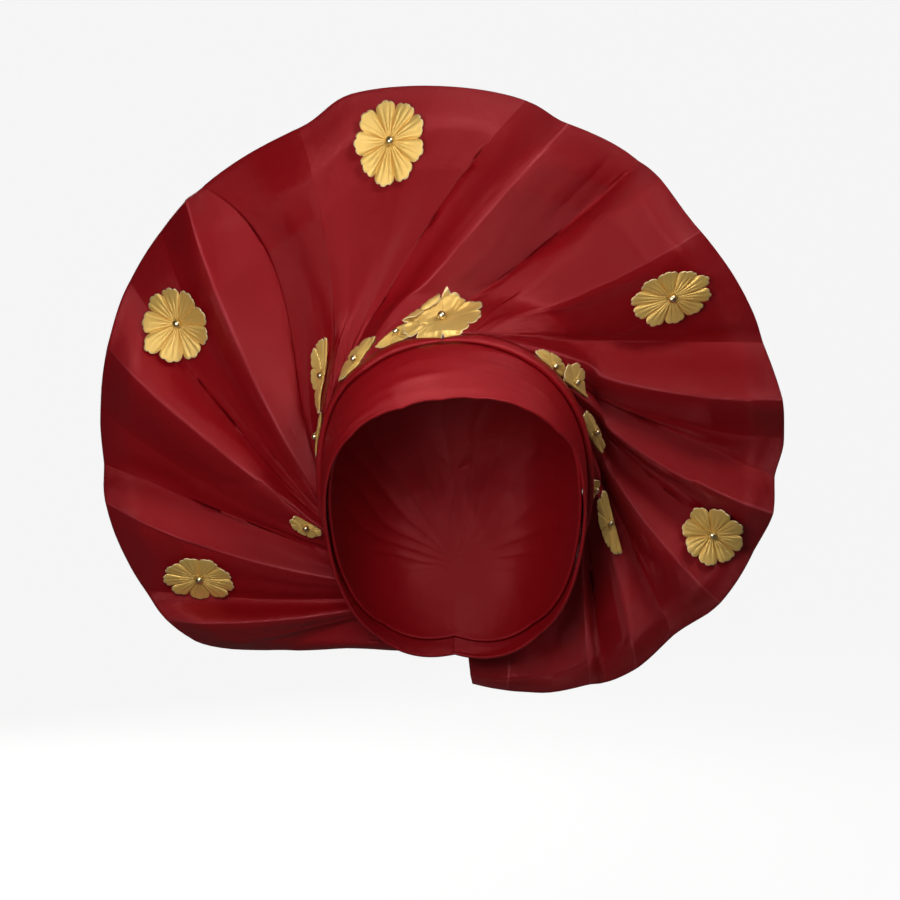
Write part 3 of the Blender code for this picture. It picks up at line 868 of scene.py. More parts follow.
# Satin ribbon stock, heat-stamped into petals: long floats give a low gloss along the ribs, and
# the hot-cut edge is paler than the face. The filaments are drawn at 0.35 mm so that they show.
GOLD_SATIN = Cloth(
    name="gold_satin_ribbon",
    colour="#F2CC78",
    worn_colour="#E4B658",
    roughness=0.32,
    sheen=0.2,
    thread=0.35,
    weave=Weave.SATIN,
    thread_relief=0.04,
    crumple=5.0,
    crumple_relief=0.25,
    metallic=0.45,
    sheen_tint="#FFF0C0",
    cut_edge_and_highlight_colour="#F2DCA6",
)

# Spun polyester sewing thread: matt, and a shade darker than the satin.
GOLD_THREAD = Cloth(
    name="gold_polyester_thread",
    colour="#B98F38",
    worn_colour="#A57E30",
    roughness=0.7,
    sheen=0.1,
    thread=0.4,
    weave=Weave.SATIN,
    thread_relief=0.08,
    crumple=4.0,
    crumple_relief=0.05,
)


def to_metres(points: Array) -> Array:
    """Points in metres in the frame's axes, from millimetres about the middle of the head."""
    return (np.asarray(points, float) - np.array([0.0, 0.0, CROWN_HEIGHT])) * MM


def new_object(name: str, data: Any) -> bpy.types.Object:
    """Put an object in the scene.

    Args:
        name: Name of the object.
        data: Its mesh, lamp or camera.

    Returns:
        The object.
    """
    made = bpy.data.objects.new(name, data)
    bpy.context.scene.collection.objects.link(made)
    return made


def make_piece(
    name: str, mesh: bpy.types.Mesh, material: bpy.types.Material, nodes: Iterable[str]
) -> bpy.types.Object:
    """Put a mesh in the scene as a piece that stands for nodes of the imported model.

    Args:
        name: Name of the piece.
        mesh: Mesh in metres, in place.
        material: Its material.
        nodes: Nodes that the piece replaces.

    Returns:
        The piece, riding on the root body.
    """
    piece = new_object(name, mesh)
    if not mesh.materials:
        mesh.materials.append(material)
    mesh.shade_smooth()
    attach(piece, ROOT_BODY)
    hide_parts(*nodes)
    return piece


def grid_sheet(
    name: str, points: Array, uv: Array | None = None, closed: bool = False, pole: Array | None = None
) -> bpy.types.Mesh:
    """Mesh an open sheet through a grid of points.

    Args:
        name: Name of the mesh.
        points: Points [column][row] in millimetres about the middle of the head.
        uv: Places on the flat cloth [column][row] in millimetres, or none for the lengths along
            the grid.
        closed: Whether the last column joins the first.
        pole: One more point that closes the last row.

    Returns:
        The mesh, with a UV map in metres.
    """
    if uv is None:
        uv = np.stack([lengths_along(points, 0), lengths_along(points, 1)], axis=-1)
    columns, rows = points.shape[:2]
    corners = to_metres(points.reshape(-1, 3))
    here = np.arange(columns if closed else columns - 1)[:, None] * rows
    beside = (here + rows) % (columns * rows)
    row = np.arange(rows - 1)[None, :]
    quads = np.stack([here + row, here + row + 1, beside + row + 1, beside + row], axis=-1)
    faces = quads.reshape(-1, 4).tolist()
    places = np.asarray(uv, float).reshape(-1, 2) * MM
    if pole is not None:
        corners = np.vstack([corners, to_metres(pole)])
        places = np.vstack([places, places.mean(axis=0)])
        last = (here[:, 0] + rows - 1).tolist()
        after = (beside[:, 0] + rows - 1).tolist()
        faces += [[a, len(corners) - 1, b] for a, b in zip(last, after)]
    mesh = bpy.data.meshes.new(name)
    mesh.from_pydata(corners.tolist(), [], faces)
    layer = mesh.uv_layers.new(name="cloth")
    numbers = np.zeros(len(mesh.loops), int)
    mesh.loops.foreach_get("vertex_index", numbers)
    layer.data.foreach_set("uv", places[numbers].ravel())
    return mesh


def close_mesh(mesh: bpy.types.Mesh) -> None:
    """Weld a mesh's doubled points, close its open ends and turn its faces outwards.

    Args:
        mesh: Mesh that is changed in place.
    """
    body = bmesh.new()
    body.from_mesh(mesh)
    bmesh.ops.remove_doubles(body, verts=body.verts, dist=WELD_DISTANCE)
    bmesh.ops.holes_fill(body, edges=body.edges, sides=0)
    bmesh.ops.recalc_face_normals(body, faces=body.faces)
    body.to_mesh(mesh)
    body.free()


def thicken(piece: bpy.types.Object, thickness: float, offset: float) -> None:
    """Give a sheet its thickness.

    Args:
        piece: The sheet.
        thickness: Thickness in millimetres.
        offset: 1 to grow outwards and 0 to grow both ways.
    """
    shell = piece.modifiers.new("cloth thickness", "SOLIDIFY")
    shell.thickness = thickness * MM
    shell.offset = offset


@dataclass
class Ground:
    """What the trims lie on: the surfaces that a ray towards the head can meet."""

    start: float = 40.0
    trees: list[BVHTree] = field(default_factory=list)

    def add(self, piece: bpy.types.Object) -> None:
        """Take a piece's evaluated surface into account."""
        bpy.context.view_layer.update()
        self.trees.append(BVHTree.FromObject(piece, bpy.context.evaluated_depsgraph_get()))

    def heights(self, points: Array, normal: Array) -> Array:
        """Measure the ground over points of a plane.

        Args:
            points: Points in millimetres about the middle of the head.
            normal: Direction out of the plane.

        Returns:
            Height of the highest surface over each point, in millimetres.
        """
        starts = to_metres(points + normal * self.start)
        down = Vector(-normal)
        found = np.zeros(len(points))
        for number, begin in enumerate(starts):
            for tree in self.trees:
                hit = tree.ray_cast(Vector(begin), down, 2.0 * self.start * MM)
                if hit[0] is not None:
                    found[number] = max(found[number], self.start - hit[3] / MM)
        return found


@dataclass
class CrownCap:
    """The cloth wound over the crown and the back of the head, gathered towards the nape."""

    head: HeadForm
    band: BandLine
    material: bpy.types.Material
    thickness: float = 1.5
    hem_behind_band: float = 5.0
    columns: int = 288
    rings: int = 96
    gathers: int = 26
    gather_relief: float = 1.5
    gather_reach: float = 75.0
    gather_everywhere: float = 0.35
    gather_sharpness: float = 1.6
    gather_wander: float = 2.0
    clear_of_band: tuple[float, float] = (12.0, 24.0)
    knot_tip: float = -60.0
    flat_size: tuple[float, float] = (0.30, 0.28)
    flat_area: float = 0.060

    def build(self) -> bpy.types.Object:
        """Build the cap with its gathers.

        Returns:
            The piece.
        """
        back_tip = -90.0
        angles = face_angles(self.columns)
        shares = np.arange(self.rings) / self.rings
        hem = self.band.front(angles) - self.hem_behind_band
        tips = hem[:, None] + (back_tip - hem[:, None]) * shares[None, :]
        turns = angles[:, None]
        free = fade(self.band.rear(turns) - tips, *self.clear_of_band)
        points = self.head.point(turns, tips, 0.0)
        points = self.head.point(turns, tips, self._gather(points) * free)
        middle = self.head.point(0.0, back_tip, 0.0)
        middle = self.head.point(0.0, back_tip, self._gather(middle))
        uv = np.stack([points[..., 0], lengths_along(points, 1)], axis=-1)
        mesh = grid_sheet("crown_cap_cloth", points, uv, True, middle)
        piece = make_piece("crown_cap_cloth", mesh, self.material, ["crown_cap"])
        thicken(piece, self.thickness, 1.0)
        log.info("%s: wound cloth with %d gathers", piece.name, self.gathers)
        return piece

    def _gather(self, points: Array) -> Array:
        """Height of the gathers that run out from the knot at the nape, in patches.

        Args:
            points: Points of the plain cap.

        Returns:
            The height over each point.
        """
        least = 0.35
        away = points - self.head.point(NAPE_ANGLE, self.knot_tip, 0.0)
        turn = np.arctan2(away[..., 0], away[..., 2])
        reach = np.linalg.norm(away, axis=-1)
        wander = self.gather_wander * cloth_noise(4.0 + reach / 40.0, 4.0 + turn * 2.0, 23)
        crest = 1.0 - np.abs(np.sin(0.5 * self.gathers * turn + wander))
        patchy = 0.5 + 0.5 * cloth_noise(9.0 + 3.0 * turn, 9.0 + reach / 35.0, 29)
        relief = self.gather_relief * np.exp(-reach / self.gather_reach) + self.gather_everywhere
        return relief * (least + (1.0 - least) * patchy) * crest**self.gather_sharpness


@dataclass
class ForeheadBand:
    """The smooth band round the forehead, with a folded front edge and faint pull lines."""

    head: HeadForm
    band: BandLine
    material: bpy.types.Material
    inner_height: float = 2.4
    thickness: float = 1.6
    columns: int = 384
    rows: int = 30
    hem_width: float = 2.6
    hem_relief: float = 0.45
    pull_relief: float = 0.55
    pull_sharpness: float = 1.5
    long_pulls: Ripple = Ripple(38.0, 5.5, 1.0, 41)
    short_pulls: Ripple = Ripple(20.0, 3.0, 0.5, 43)
    sag: Ripple = Ripple(55.0, 30.0, 0.3, 47)
    settle_front: tuple[float, float] = (0.02, 0.12)
    settle_rear: tuple[float, float] = (1.0, 0.85)
    flat_size: tuple[float, float] = (0.46, 0.045)
    flat_area: float = 0.0165

    def build(self) -> bpy.types.Object:
        """Build the band.

        Returns:
            The piece.
        """
        angles = face_angles(self.columns)
        shares = np.arange(self.rows + 1) / self.rows
        front = self.band.front(angles)[:, None]
        rear = self.band.rear(angles)[:, None]
        tips = front + (rear - front) * shares[None, :]
        turns = angles[:, None]
        plain = self.head.point(turns, tips, self.inner_height)
        around = lengths_along(plain, 0)
        along = lengths_along(plain, 1)
        fold = self.hem_relief * np.exp(-((along / self.hem_width) ** 2))
        pulls = self.long_pulls.over(around, along) + self.short_pulls.over(around, along)
        sag = self.sag.height + self.sag.over(around, along)
        relief = self.pull_relief * np.maximum(pulls, 0.0) ** self.pull_sharpness + sag
        settle = fade(shares, *self.settle_rear)[None, :] * fade(shares, *self.settle_front)[None, :]
        points = self.head.point(turns, tips, self.inner_height + fold + relief * settle)
        uv = np.stack([around, along], axis=-1)
        mesh = grid_sheet("forehead_band_cloth", points, uv, True)
        piece = make_piece("forehead_band_cloth", mesh, self.material, ["forehead_band"])
        thicken(piece, self.thickness, 1.0)
        log.info("%s: %d columns round the head", piece.name, self.columns)
        return piece


@dataclass
class WrapFold:
    """One thin fold of cloth along the band's rear edge: a strip folded over lengthwise."""

    row: Roll
    head: HeadForm
    band: BandLine
    material: bpy.types.Material
    gap: float = 0.4
    half_height: float = 1.35
    depth: float = 6.5
    cloth: float = 0.7
    overlap: float = 1.3
    tip_size: float = 0.3
    taper_rate: float = 5.0
    step: float = 1.6
    bend_points: int = 9
    legs: tuple[tuple[float, float], ...] = ((1.0, 0.75), (0.55, 0.95))
    unevenness: float = 0.12
    radian: float = 57.3

    def build(self) -> bpy.types.Object:
        """Sweep the folded strip round the head.

        Returns:
            The piece.
        """
        name = self.row.name + "_cloth"
        count = int(abs(self.row.end - self.row.start) / self.step) + 1
        shares = np.linspace(0.0, 1.0, count)
        angles = self.row.start + (self.row.end - self.row.start) * shares
        taper = np.minimum(1.0, self.tip_size + self.taper_rate * np.minimum(shares, 1.0 - shares))
        turn = np.radians(np.linspace(90.0, -90.0, self.bend_points))
        leg_back, leg_high = np.array(self.legs).T
        back = np.concatenate([leg_back * self.depth, 1.0 - np.cos(turn), leg_back[::-1] * self.depth])
        high = np.concatenate([leg_high, np.sin(turn), -leg_high[::-1]]) * self.half_height
        centre = self.row.height + self.gap + self.half_height + 0.5 * self.cloth
        wave = cloth_noise(shares[:, None] * 14.0, back[None, :] * 0.2 + 3.0, 61)
        heights = centre + high[None, :] * taper[:, None] * (1.0 + self.unevenness * wave)
        degrees_per_mm = self.radian / self.head.crown
        behind = self.row.behind - self.overlap + back[None, :] * degrees_per_mm * taper[:, None]
        tips = self.band.rear(angles)[:, None] - behind
        points = self.head.point(angles[:, None], tips, heights)
        mesh = grid_sheet(name, points)
        piece = make_piece(name, mesh, self.material, [self.row.name])
        thicken(piece, self.cloth, 0.0)
        return piece


@dataclass
class Fan:
    """The pleated fan: taffeta creased along the folds, with pull lines and a turned hem."""

    form: FanForm
    material: bpy.types.Material
    cloth: float = 1.0
    column_width: float = 3.4
    least_columns: int = 5
    crease_width: float = 0.7
    # Strength of the highlight painted along the crests.
    crest_highlight: float = 0.75
    rows: int = 88
    hem_rows: int = 9
    hem_turn_rows: int = 5
    hem_radius: float = 1.1
    hem_width: float = 9.0
    drift: Ripple = Ripple(70.0, 90.0, 6.0, 5)
    pulls: Ripple = Ripple(11.0, 75.0, 0.55, 7)
    pinches: Ripple = Ripple(24.0, 60.0, 1.0, 11)
    pinch_slant: float = 0.25
    pinch_height: float = 0.5
    pinch_sharpness: float = 8.0
    dents: Ripple = Ripple(48.0, 42.0, 1.3, 13)
    gathers: Ripple = Ripple(4.5, 60.0, 0.9, 17)
    measured_at: float = 0.7
    gather_fade: tuple[float, float] = (0.5, 0.05)
    root_fade: tuple[float, float] = (0.0, 0.2)
    rim_fade: tuple[float, float] = (1.0, 0.86)
    rim_stiffness: float = 0.65
    flat_size: tuple[float, float] = (0.98, 0.15)
    flat_area: float = 0.125

    def build(self) -> bpy.types.Object:
        """Build the fan.

        Returns:
            The piece.
        """
        places = self._places()
        shares = np.linspace(0.0, 1.0, self.rows)
        points = self.form.point(*np.meshgrid(places, shares, indexing="ij"))
        points = points + grid_normals(points) * self._relief(points, shares)[..., None]
        points = np.concatenate([points, self._hem(points)], axis=1)
        mesh = grid_sheet("fan_cloth", points)
        # The edge attribute carries the highlight painted along the crests.
        lines = self._painted_crest_highlight(places, points.shape[1]).astype(np.float32)
        mesh.attributes.new("edge", "FLOAT", "POINT").data.foreach_set("value", lines.ravel())
        piece = make_piece("fan_cloth", mesh, self.material, ["fan"])
        thicken(piece, self.cloth, 0.0)
        log.info("%s: %d creases, %d columns", piece.name, len(FOLDS), len(places))
        return piece

    def _places(self) -> Array:
        """Places of the columns in the row of folds, closer where the folds are narrow.

        Returns:
            The places, in rising order.
        """
        places = []
        for number, (fold, following) in enumerate(zip(FOLDS, FOLDS[1:])):
            width = math.radians(fold.rim_angle - following.rim_angle) * fold.rim_radius
            count = max(self.least_columns, round(width / self.column_width))
            crease = self.crease_width / width
            inner = crease + (1.0 - 2.0 * crease) * np.arange(count) / (count - 1.0)
            places.extend([number] + list(number + inner))
        return np.array(places + [len(FOLDS) - 1.0])

    def _painted_crest_highlight(self, places: Array, rows: int) -> Array:
        """How much painted highlight each point on a crest line takes, from 0 to 1.

        Args:
            places: Places of the columns in the row of folds.
            rows: Number of points in a column.

        Returns:
            The share of the painted highlight [column][row].
        """
        heights = np.array([row.height for row in FOLDS])
        beside = np.pad(heights, 1, mode="edge")
        crests = np.flatnonzero((heights > beside[:-2]) & (heights > beside[2:]))
        on_crest = np.isin(places, crests)[:, None]
        patchy = 0.5 + 0.5 * cloth_noise(7.0 * places[:, None], np.arange(rows)[None, :] / 11.0, 31)
        return on_crest * self.crest_highlight * patchy

    def _relief(self, points: Array, shares: Array) -> Array:
        """Height of the pull lines, pinches, dents and fine gathers over the creased surface.

        Args:
            points: Points [column][row] of the creased surface.
            shares: Share of the way out of each row.

        Returns:
            The height over each point.
        """
        middle = int(self.measured_at * len(shares))
        across = lengths_along(points[:, middle : middle + 1], 0) + 0.0 * shares[None, :]
        along = lengths_along(points, 1)
        pulls = self.pulls.over(across + self.drift.over(across, along), along)
        ridge = 1.0 - np.abs(self.pinches.over(across + self.pinch_slant * along, along))
        outer = pulls + self.pinch_height * ridge**self.pinch_sharpness + self.dents.over(across, along)
        inner = np.abs(self.gathers.over(across, along)) * fade(shares, *self.gather_fade)[None, :]
        past_root = fade(shares, *self.root_fade)
        calmer_rim = 1.0 - self.rim_stiffness * (1.0 - fade(shares, *self.rim_fade))
        return outer * (past_root * calmer_rim)[None, :] + inner

    def _hem(self, points: Array) -> Array:
        """Rows of the hem: round the rim and back along the fan's rear face.

        Args:
            points: Points [column][row] of the fan.

        Returns:
            The points that follow the rim in each column.
        """
        rim, inner = points[:, -1:], points[:, -4:-3]
        outward = unit(rim - inner)
        normal = grid_normals(points)[:, -1:]
        steps = np.arange(1, self.hem_rows + 1)[None, :, None]
        bends = self.hem_turn_rows
        turn = np.pi * np.minimum(steps / bends, 1.0)
        run = self.hem_width * np.maximum(steps - bends, 0) / (self.hem_rows - bends)
        ahead = self.hem_radius * np.sin(turn) - run
        return rim + outward * ahead - normal * self.hem_radius * (1.0 - np.cos(turn))


@dataclass
class NapeKnot:
    """The knot at the nape: a soft oval wound with slanting turns of cloth."""

    head: HeadForm
    material: bpy.types.Material
    tip: float = -60.0
    half_size: tuple[float, float, float] = (19.0, 9.4, 10.6)
    seat: float = 11.4
    turns: int = 5
    relief: float = 0.13
    squareness: float = 2.6
    wind_slant: float = 0.9
    wind_rate: float = 1.2
    wind_softness: float = 0.6
    pinch: float = 0.22
    pinch_width: float = 6.0
    columns: int = 96
    rings: int = 48
    fill: float = 0.8

    def build(self) -> bpy.types.Object:
        """Build the knot.

        Returns:
            The piece.
        """
        turn = round_turns(self.columns)[:, None]
        rise = np.linspace(-0.5 * math.pi, 0.5 * math.pi, self.rings)[None, 1:-1]
        level = np.cos(rise)
        ways = np.stack([level * np.cos(turn), level * np.sin(turn), np.sin(rise) + 0.0 * turn], axis=-1)
        total = (np.abs(ways) ** self.squareness).sum(axis=-1, keepdims=True)
        ways = ways / total ** (1.0 / self.squareness)
        local = ways * np.array(self.half_size)
        wind = self.turns * self.wind_rate * ways[..., 0] + self.wind_slant * np.sin(turn)
        valley = 1.0 - np.abs(np.sin(wind)) ** self.wind_softness
        waist = self.pinch * np.exp(-((local[..., 0] / self.pinch_width) ** 2))
        local = local * (1.0 - waist - self.relief * valley)[..., None]
        tilt = math.radians(NAPE_ANGLE - self.tip)
        y, z = local[..., 1].copy(), local[..., 2].copy()
        local[..., 1] = y * math.cos(tilt) - z * math.sin(tilt)
        local[..., 2] = y * math.sin(tilt) + z * math.cos(tilt)
        points = self.head.point(NAPE_ANGLE, self.tip, self.seat) + local
        mesh = grid_sheet("nape_knot_cloth", points, closed=True)
        close_mesh(mesh)
        piece = make_piece("nape_knot_cloth", mesh, self.material, ["nape_knot"])
        log.info("%s: wound with %d turns", piece.name, self.turns)
        return piece


@dataclass(frozen=True)
class PetalStamp:
    """The stamp that cuts and embosses a flower: a tree of geometry nodes that repeats a petal.

    The blank is a flat flower of radius 1 whose height is in millimetres.
    """

    petals: int = 9
    notch: float = 0.19
    slim_notch: float = 0.11
    notch_reach: float = 3.0
    lobe_roundness: float = 0.5
    ribs: int = 3
    rib_height: float = 0.8
    rib_nick: float = 0.045
    groove_sharpness: float = 1.6
    rib_fade_in: float = 3.2
    rib_fade_out: float = 1.8
    dome_height: float = 1.5
    dome_fullness: float = 3.0
    cup_radius: float = 0.17
    cup_width: float = 0.06
    cup_height: float = 0.7
    rings: int = 20
    corners: int = 18
    weld: float = 0.0005

    def tree(self) -> bpy.types.NodeTree:
        """Build the node tree.

        Returns:
            A tree with one named input for each size.
        """
        tree = bpy.data.node_groups.new("petal stamp", "GeometryNodeTree")
        sockets = (
            ("Petals", "NodeSocketInt", self.petals),
            ("Notch", "NodeSocketFloat", self.notch),
            ("Ribs", "NodeSocketInt", self.ribs),
            ("Rib Height", "NodeSocketFloat", self.rib_height),
            ("Rib Nick", "NodeSocketFloat", self.rib_nick),
            ("Dome Height", "NodeSocketFloat", self.dome_height),
            ("Cup Radius", "NodeSocketFloat", self.cup_radius),
            ("Cup Height", "NodeSocketFloat", self.cup_height),
            ("Material", "NodeSocketMaterial", None),
        )
        for name, kind, default in sockets:
            socket = tree.interface.new_socket(name, in_out="INPUT", socket_type=kind)
            if default is not None:
                socket.default_value = default
        tree.interface.new_socket("Geometry", in_out="OUTPUT", socket_type="NodeSocketGeometry")
        outputs = add_node(tree, "NodeGroupInput").outputs
        given = {name: Signal(tree, outputs[name]) for name, _, _ in sockets}
        petal_turn = 2.0 * math.pi / given["Petals"]
        petal = self._petal(tree, given, petal_turn)
        count = {"Count": outputs["Petals"]}
        seats = add_node(tree, "GeometryNodeMeshLine", values={"Offset": (0.0, 0.0, 0.0)}, links=count)
        number = Signal(tree, add_node(tree, "GeometryNodeInputIndex").outputs[0])
        turned = add_node(tree, "ShaderNodeCombineXYZ", links={"Z": (number * petal_turn).socket})
        links = {"Points": seats.outputs[0], "Instance": petal, "Rotation": turned.outputs[0]}
        shape = add_node(tree, "GeometryNodeInstanceOnPoints", links=links).outputs[0]
        shape = add_node(tree, "GeometryNodeRealizeInstances", links={"Geometry": shape}).outputs[0]
        weld = {"Distance": self.weld}
        shape = add_node(tree, "GeometryNodeMergeByDistance", {}, weld, {"Geometry": shape}).outputs[0]
        links = {"Geometry": shape, "Material": outputs["Material"]}
        shape = add_node(tree, "GeometryNodeSetMaterial", links=links).outputs[0]
        add_node(tree, "NodeGroupOutput", links={0: shape})
        return tree

    def _petal(
        self, tree: bpy.types.NodeTree, given: dict[str, Signal], petal_turn: Signal
    ) -> bpy.types.NodeSocket:
        """Cut and emboss one petal.

        Args:
            tree: The stamp's node tree.
            given: The tree's inputs, by name.
            petal_turn: Angle that a petal fills, in radians.

        Returns:
            The petal's geometry.
        """
        sizes = {"Size X": 1.0, "Size Y": 1.0}
        points = {"Vertices X": self.rings + 1, "Vertices Y": self.corners + 1}
        grid = add_node(tree, "GeometryNodeMeshGrid", {}, {**sizes, **points}).outputs["Mesh"]
        spot = add_node(tree, "GeometryNodeInputPosition").outputs[0]
        split = add_node(tree, "ShaderNodeSeparateXYZ", links={"Vector": spot}).outputs
        out = Signal(tree, split["X"]) + 0.5
        across = Signal(tree, split["Y"]) + 0.5
        lobe = (across * math.pi).sine()
        ridge = (across * given["Ribs"] * math.pi).sine()
        groove = (1.0 - ridge.math("ABSOLUTE", ridge)) ** self.groove_sharpness
        cut = (1.0 - lobe**self.lobe_roundness) * given["Notch"] + groove * given["Rib Nick"]
        radius = out * (1.0 - cut * out**self.notch_reach)
        turn = across * petal_turn
        corners = {
            "X": (radius * turn.math("COSINE", turn)).socket,
            "Y": (radius * turn.sine()).socket,
            "Z": self._height(given, out, groove, lobe).socket,
        }
        place = add_node(tree, "ShaderNodeCombineXYZ", links=corners).outputs[0]
        links = {"Geometry": grid, "Position": place}
        return add_node(tree, "GeometryNodeSetPosition", links=links).outputs[0]

    def _height(self, given: dict[str, Signal], out: Signal, groove: Signal, lobe: Signal) -> Signal:
        """Height of the emboss.

        Args:
            given: The tree's inputs, by name.
            out: Share of the way out from the middle.
            groove: 1 at the bottom of a groove along the petal and 0 between grooves.
            lobe: 0 at the petal's two sides and 1 on its middle line.

        Returns:
            The ridges along the petal, its domed face and the cup round the middle.
        """
        from_cup = out.math("SMOOTH_MIN", 1.0, out * self.rib_fade_in, 0.3)
        to_tip = out.math("SMOOTH_MIN", 1.0, (1.0 - out) * self.rib_fade_out, 0.2)
        ribs = (1.0 - groove) * given["Rib Height"] * from_cup * to_tip
        dome = (1.0 - (1.0 - lobe) ** self.dome_fullness) * given["Dome Height"] * from_cup
        apart = (out - given["Cup Radius"]) / self.cup_width
        ring = apart.math("EXPONENT", apart * apart * -1.0)
        return ribs + dome + ring * given["Cup Height"]

    def blank(
        self, tree: bpy.types.NodeTree, petals: int, notch: float, material: bpy.types.Material
    ) -> bpy.types.Mesh:
        """Stamp one flat flower.

        Args:
            tree: The node tree.
            petals: Number of petals.
            notch: Depth of the notches between petals, as a share of the radius.
            material: Material of the flower.

        Returns:
            A plain mesh.
        """
        holder = new_object("stamp", bpy.data.meshes.new("stamp"))
        modifier = holder.modifiers.new("petal stamp", "NODES")
        modifier.node_group = tree
        inputs = {"Petals": petals, "Notch": notch, "Material": material}
        for item in tree.interface.items_tree:
            if item.name in inputs:
                modifier[item.identifier] = inputs[item.name]
        bpy.context.view_layer.update()
        graph = bpy.context.evaluated_depsgraph_get()
        mesh = bpy.data.meshes.new_from_object(holder.evaluated_get(graph))
        bpy.data.objects.remove(holder)
        return mesh


@dataclass
class FlowerTrim:
    """One embossed satin flower, laid over the folds, and the bead sewn to its middle."""

    row: Flower
    form: FanForm
    satin: bpy.types.Material
    metal: bpy.types.Material
    thread: bpy.types.Material
    cloth: float = 0.5
    gap: float = 0.6
    sink: float = 14.0
    fit_points: int = 27
    fit_rings: tuple[float, float] = (0.5, 1.0)
    steepest: float = 0.6
    net_rings: int = 9
    net_columns: int = 40
    relaxing: int = 12
    pull_around: float = 0.3
    pull_outwards: float = 0.3
    tip_lift: float = 2.8
    tip_change: float = 0.45
    size_change: float = 0.025
    edge_fray: float = 0.012
    fray_rate: float = 14.0
    fold_gap: float = 0.9
    fold_loft: float = 1.6
    crease_width: float = 0.12
    full_size: float = 31.0
    petal_fill: float = 0.75
    small_flower: float = 20.0
    least_flat: float = 0.01
    bead_radius: float = 2.4
    small_bead: float = 1.8
    bead_sink: float = 0.1
    bead_rows: int = 15
    bead_columns: int = 28
    bead_hole: float = 0.55
    hole_length: float = 0.6
    thread_radius: float = 0.28
    thread_rows: int = 17
    thread_columns: int = 8
    thread_reach: float = 1.5
    thread_drop: float = 1.35

    def build(self, ground: Ground, stamp: PetalStamp, tree: bpy.types.NodeTree) -> bpy.types.Object:
        """Lay the flower on the ground and sew on its bead.

        Args:
            ground: What the flower lies on.
            stamp: The petal stamp.
            tree: Its node tree.

        Returns:
            The flower's piece.
        """
        name = "flower_" + self.row.name
        self.slim = self.row.across_folds < self.small_flower
        notch = stamp.slim_notch if self.slim else stamp.notch
        mesh = stamp.blank(tree, self.row.petals, notch, self.satin)
        flat = np.zeros(len(mesh.vertices) * 3)
        mesh.vertices.foreach_get("co", flat)
        flat = flat.reshape(-1, 3)
        reach = np.hypot(flat[:, 0], flat[:, 1])
        turn = np.arctan2(flat[:, 1], flat[:, 0])
        self._fit_plane()
        net = self._drape(ground)
        size = 1.0 + reach**2 * self._petal_size(turn)
        across, layer = self._fold(flat[:, 1] * size)
        points = self._on_plane(flat[:, 0] * size, across)
        lift = self._read_net(net, flat[:, 0] * size, across)
        scale = min(1.0, self.row.across_folds / self.full_size)
        uneven = 1.0 - self.tip_change * (1.0 - np.cos(2.0 * turn + self.row.seed))
        curl = self.tip_lift * reach**2 * uneven
        floor = ground.heights(points, self.normal) + self.gap
        relief = scale * (np.sign(layer + 0.5) * flat[:, 2] + curl)
        lift = np.maximum(lift + relief, floor) + scale * np.maximum(layer, 0.0)
        points = points + lift[:, None] * self.normal
        mesh.vertices.foreach_set("co", to_metres(points).ravel())
        unfolded = 2.0 / (1.0 - self.row.fold_at)
        cut = np.array([self.row.across_folds * unfolded, self.row.along_fold])
        self._mark(mesh, 0.5 * flat[:, :2] * cut[::-1])
        piece = make_piece(name + "_satin", mesh, self.satin, [name])
        thicken(piece, self.cloth, 0.0)
        wide, long = np.maximum(cut * MM, self.least_flat).tolist()
        self.petal_fill * wide * long
        ground.add(piece)
        self._sew_bead(ground)
        log.info("%s: %d petals", piece.name, self.row.petals)
        return piece

    def _fit_plane(self) -> None:
        """Fit a plane to the fan where the flower lies."""
        turns = round_turns(self.fit_points)
        circle = np.stack([np.cos(turns), np.sin(turns)], axis=-1)
        offsets = np.concatenate([ring * circle for ring in self.fit_rings])
        along = 0.5 * self.row.along_fold * offsets[:, 0]
        across = 0.5 * self.row.across_folds * offsets[:, 1]
        place = self.form.place_of(self.row.rim_angle)
        surface = self.form.point(*self.form.walk(place, self.row.share, along, across))
        unknowns = np.concatenate([offsets, np.ones((len(offsets), 1))], axis=1)
        self.ahead, self.beside, middle = np.linalg.lstsq(unknowns, surface, rcond=None)[0]
        self.normal = unit(np.cross(self.beside, self.ahead))
        self.middle = middle - self.sink * self.normal

    def _on_plane(self, along: Array, across: Array) -> Array:
        """Points of the plane at shares of the flower's half length and half width."""
        return self.middle + along[..., None] * self.ahead + across[..., None] * self.beside

    def _fold(self, across: Array) -> tuple[Array, Array]:
        """Fold the blank along its crease.

        Args:
            across: Places across the blank, as shares of its half width.

        Returns:
            Places across the folded flower, and the height of the layer that lies on top.
        """
        crease, side = self.row.fold_at, self.row.side
        kept = side * across
        over = kept < crease
        shut = np.abs(kept - crease)
        loft = self.fold_gap * np.minimum(shut / self.crease_width, 1.0) + self.fold_loft * shut**2
        on_top = over if self.row.flap > 0 else ~over
        folded = crease > -1.0
        layer = np.where(on_top, loft, -loft) if folded else np.zeros(len(across))
        return side * (2.0 * shut / (1.0 - crease) - 1.0), layer

    def _petal_size(self, turn: Array) -> Array:
        """How much longer or shorter the cut is than the plain outline at an angle.

        Args:
            turn: Angle round the flower, in radians.

        Returns:
            The change, as a share of the radius.
        """
        rng = np.random.default_rng(self.row.seed)
        waves = np.zeros(turn.shape)
        for count in (2, 3, 5, 7):
            waves += rng.uniform(0.3, 1.0) * np.cos(count * turn + rng.uniform(0.0, 6.3))
        fray = cloth_noise(40.0 + turn * self.fray_rate, np.full(turn.shape, 0.5 + self.row.seed), 71)
        return self.size_change * waves + self.edge_fray * fray

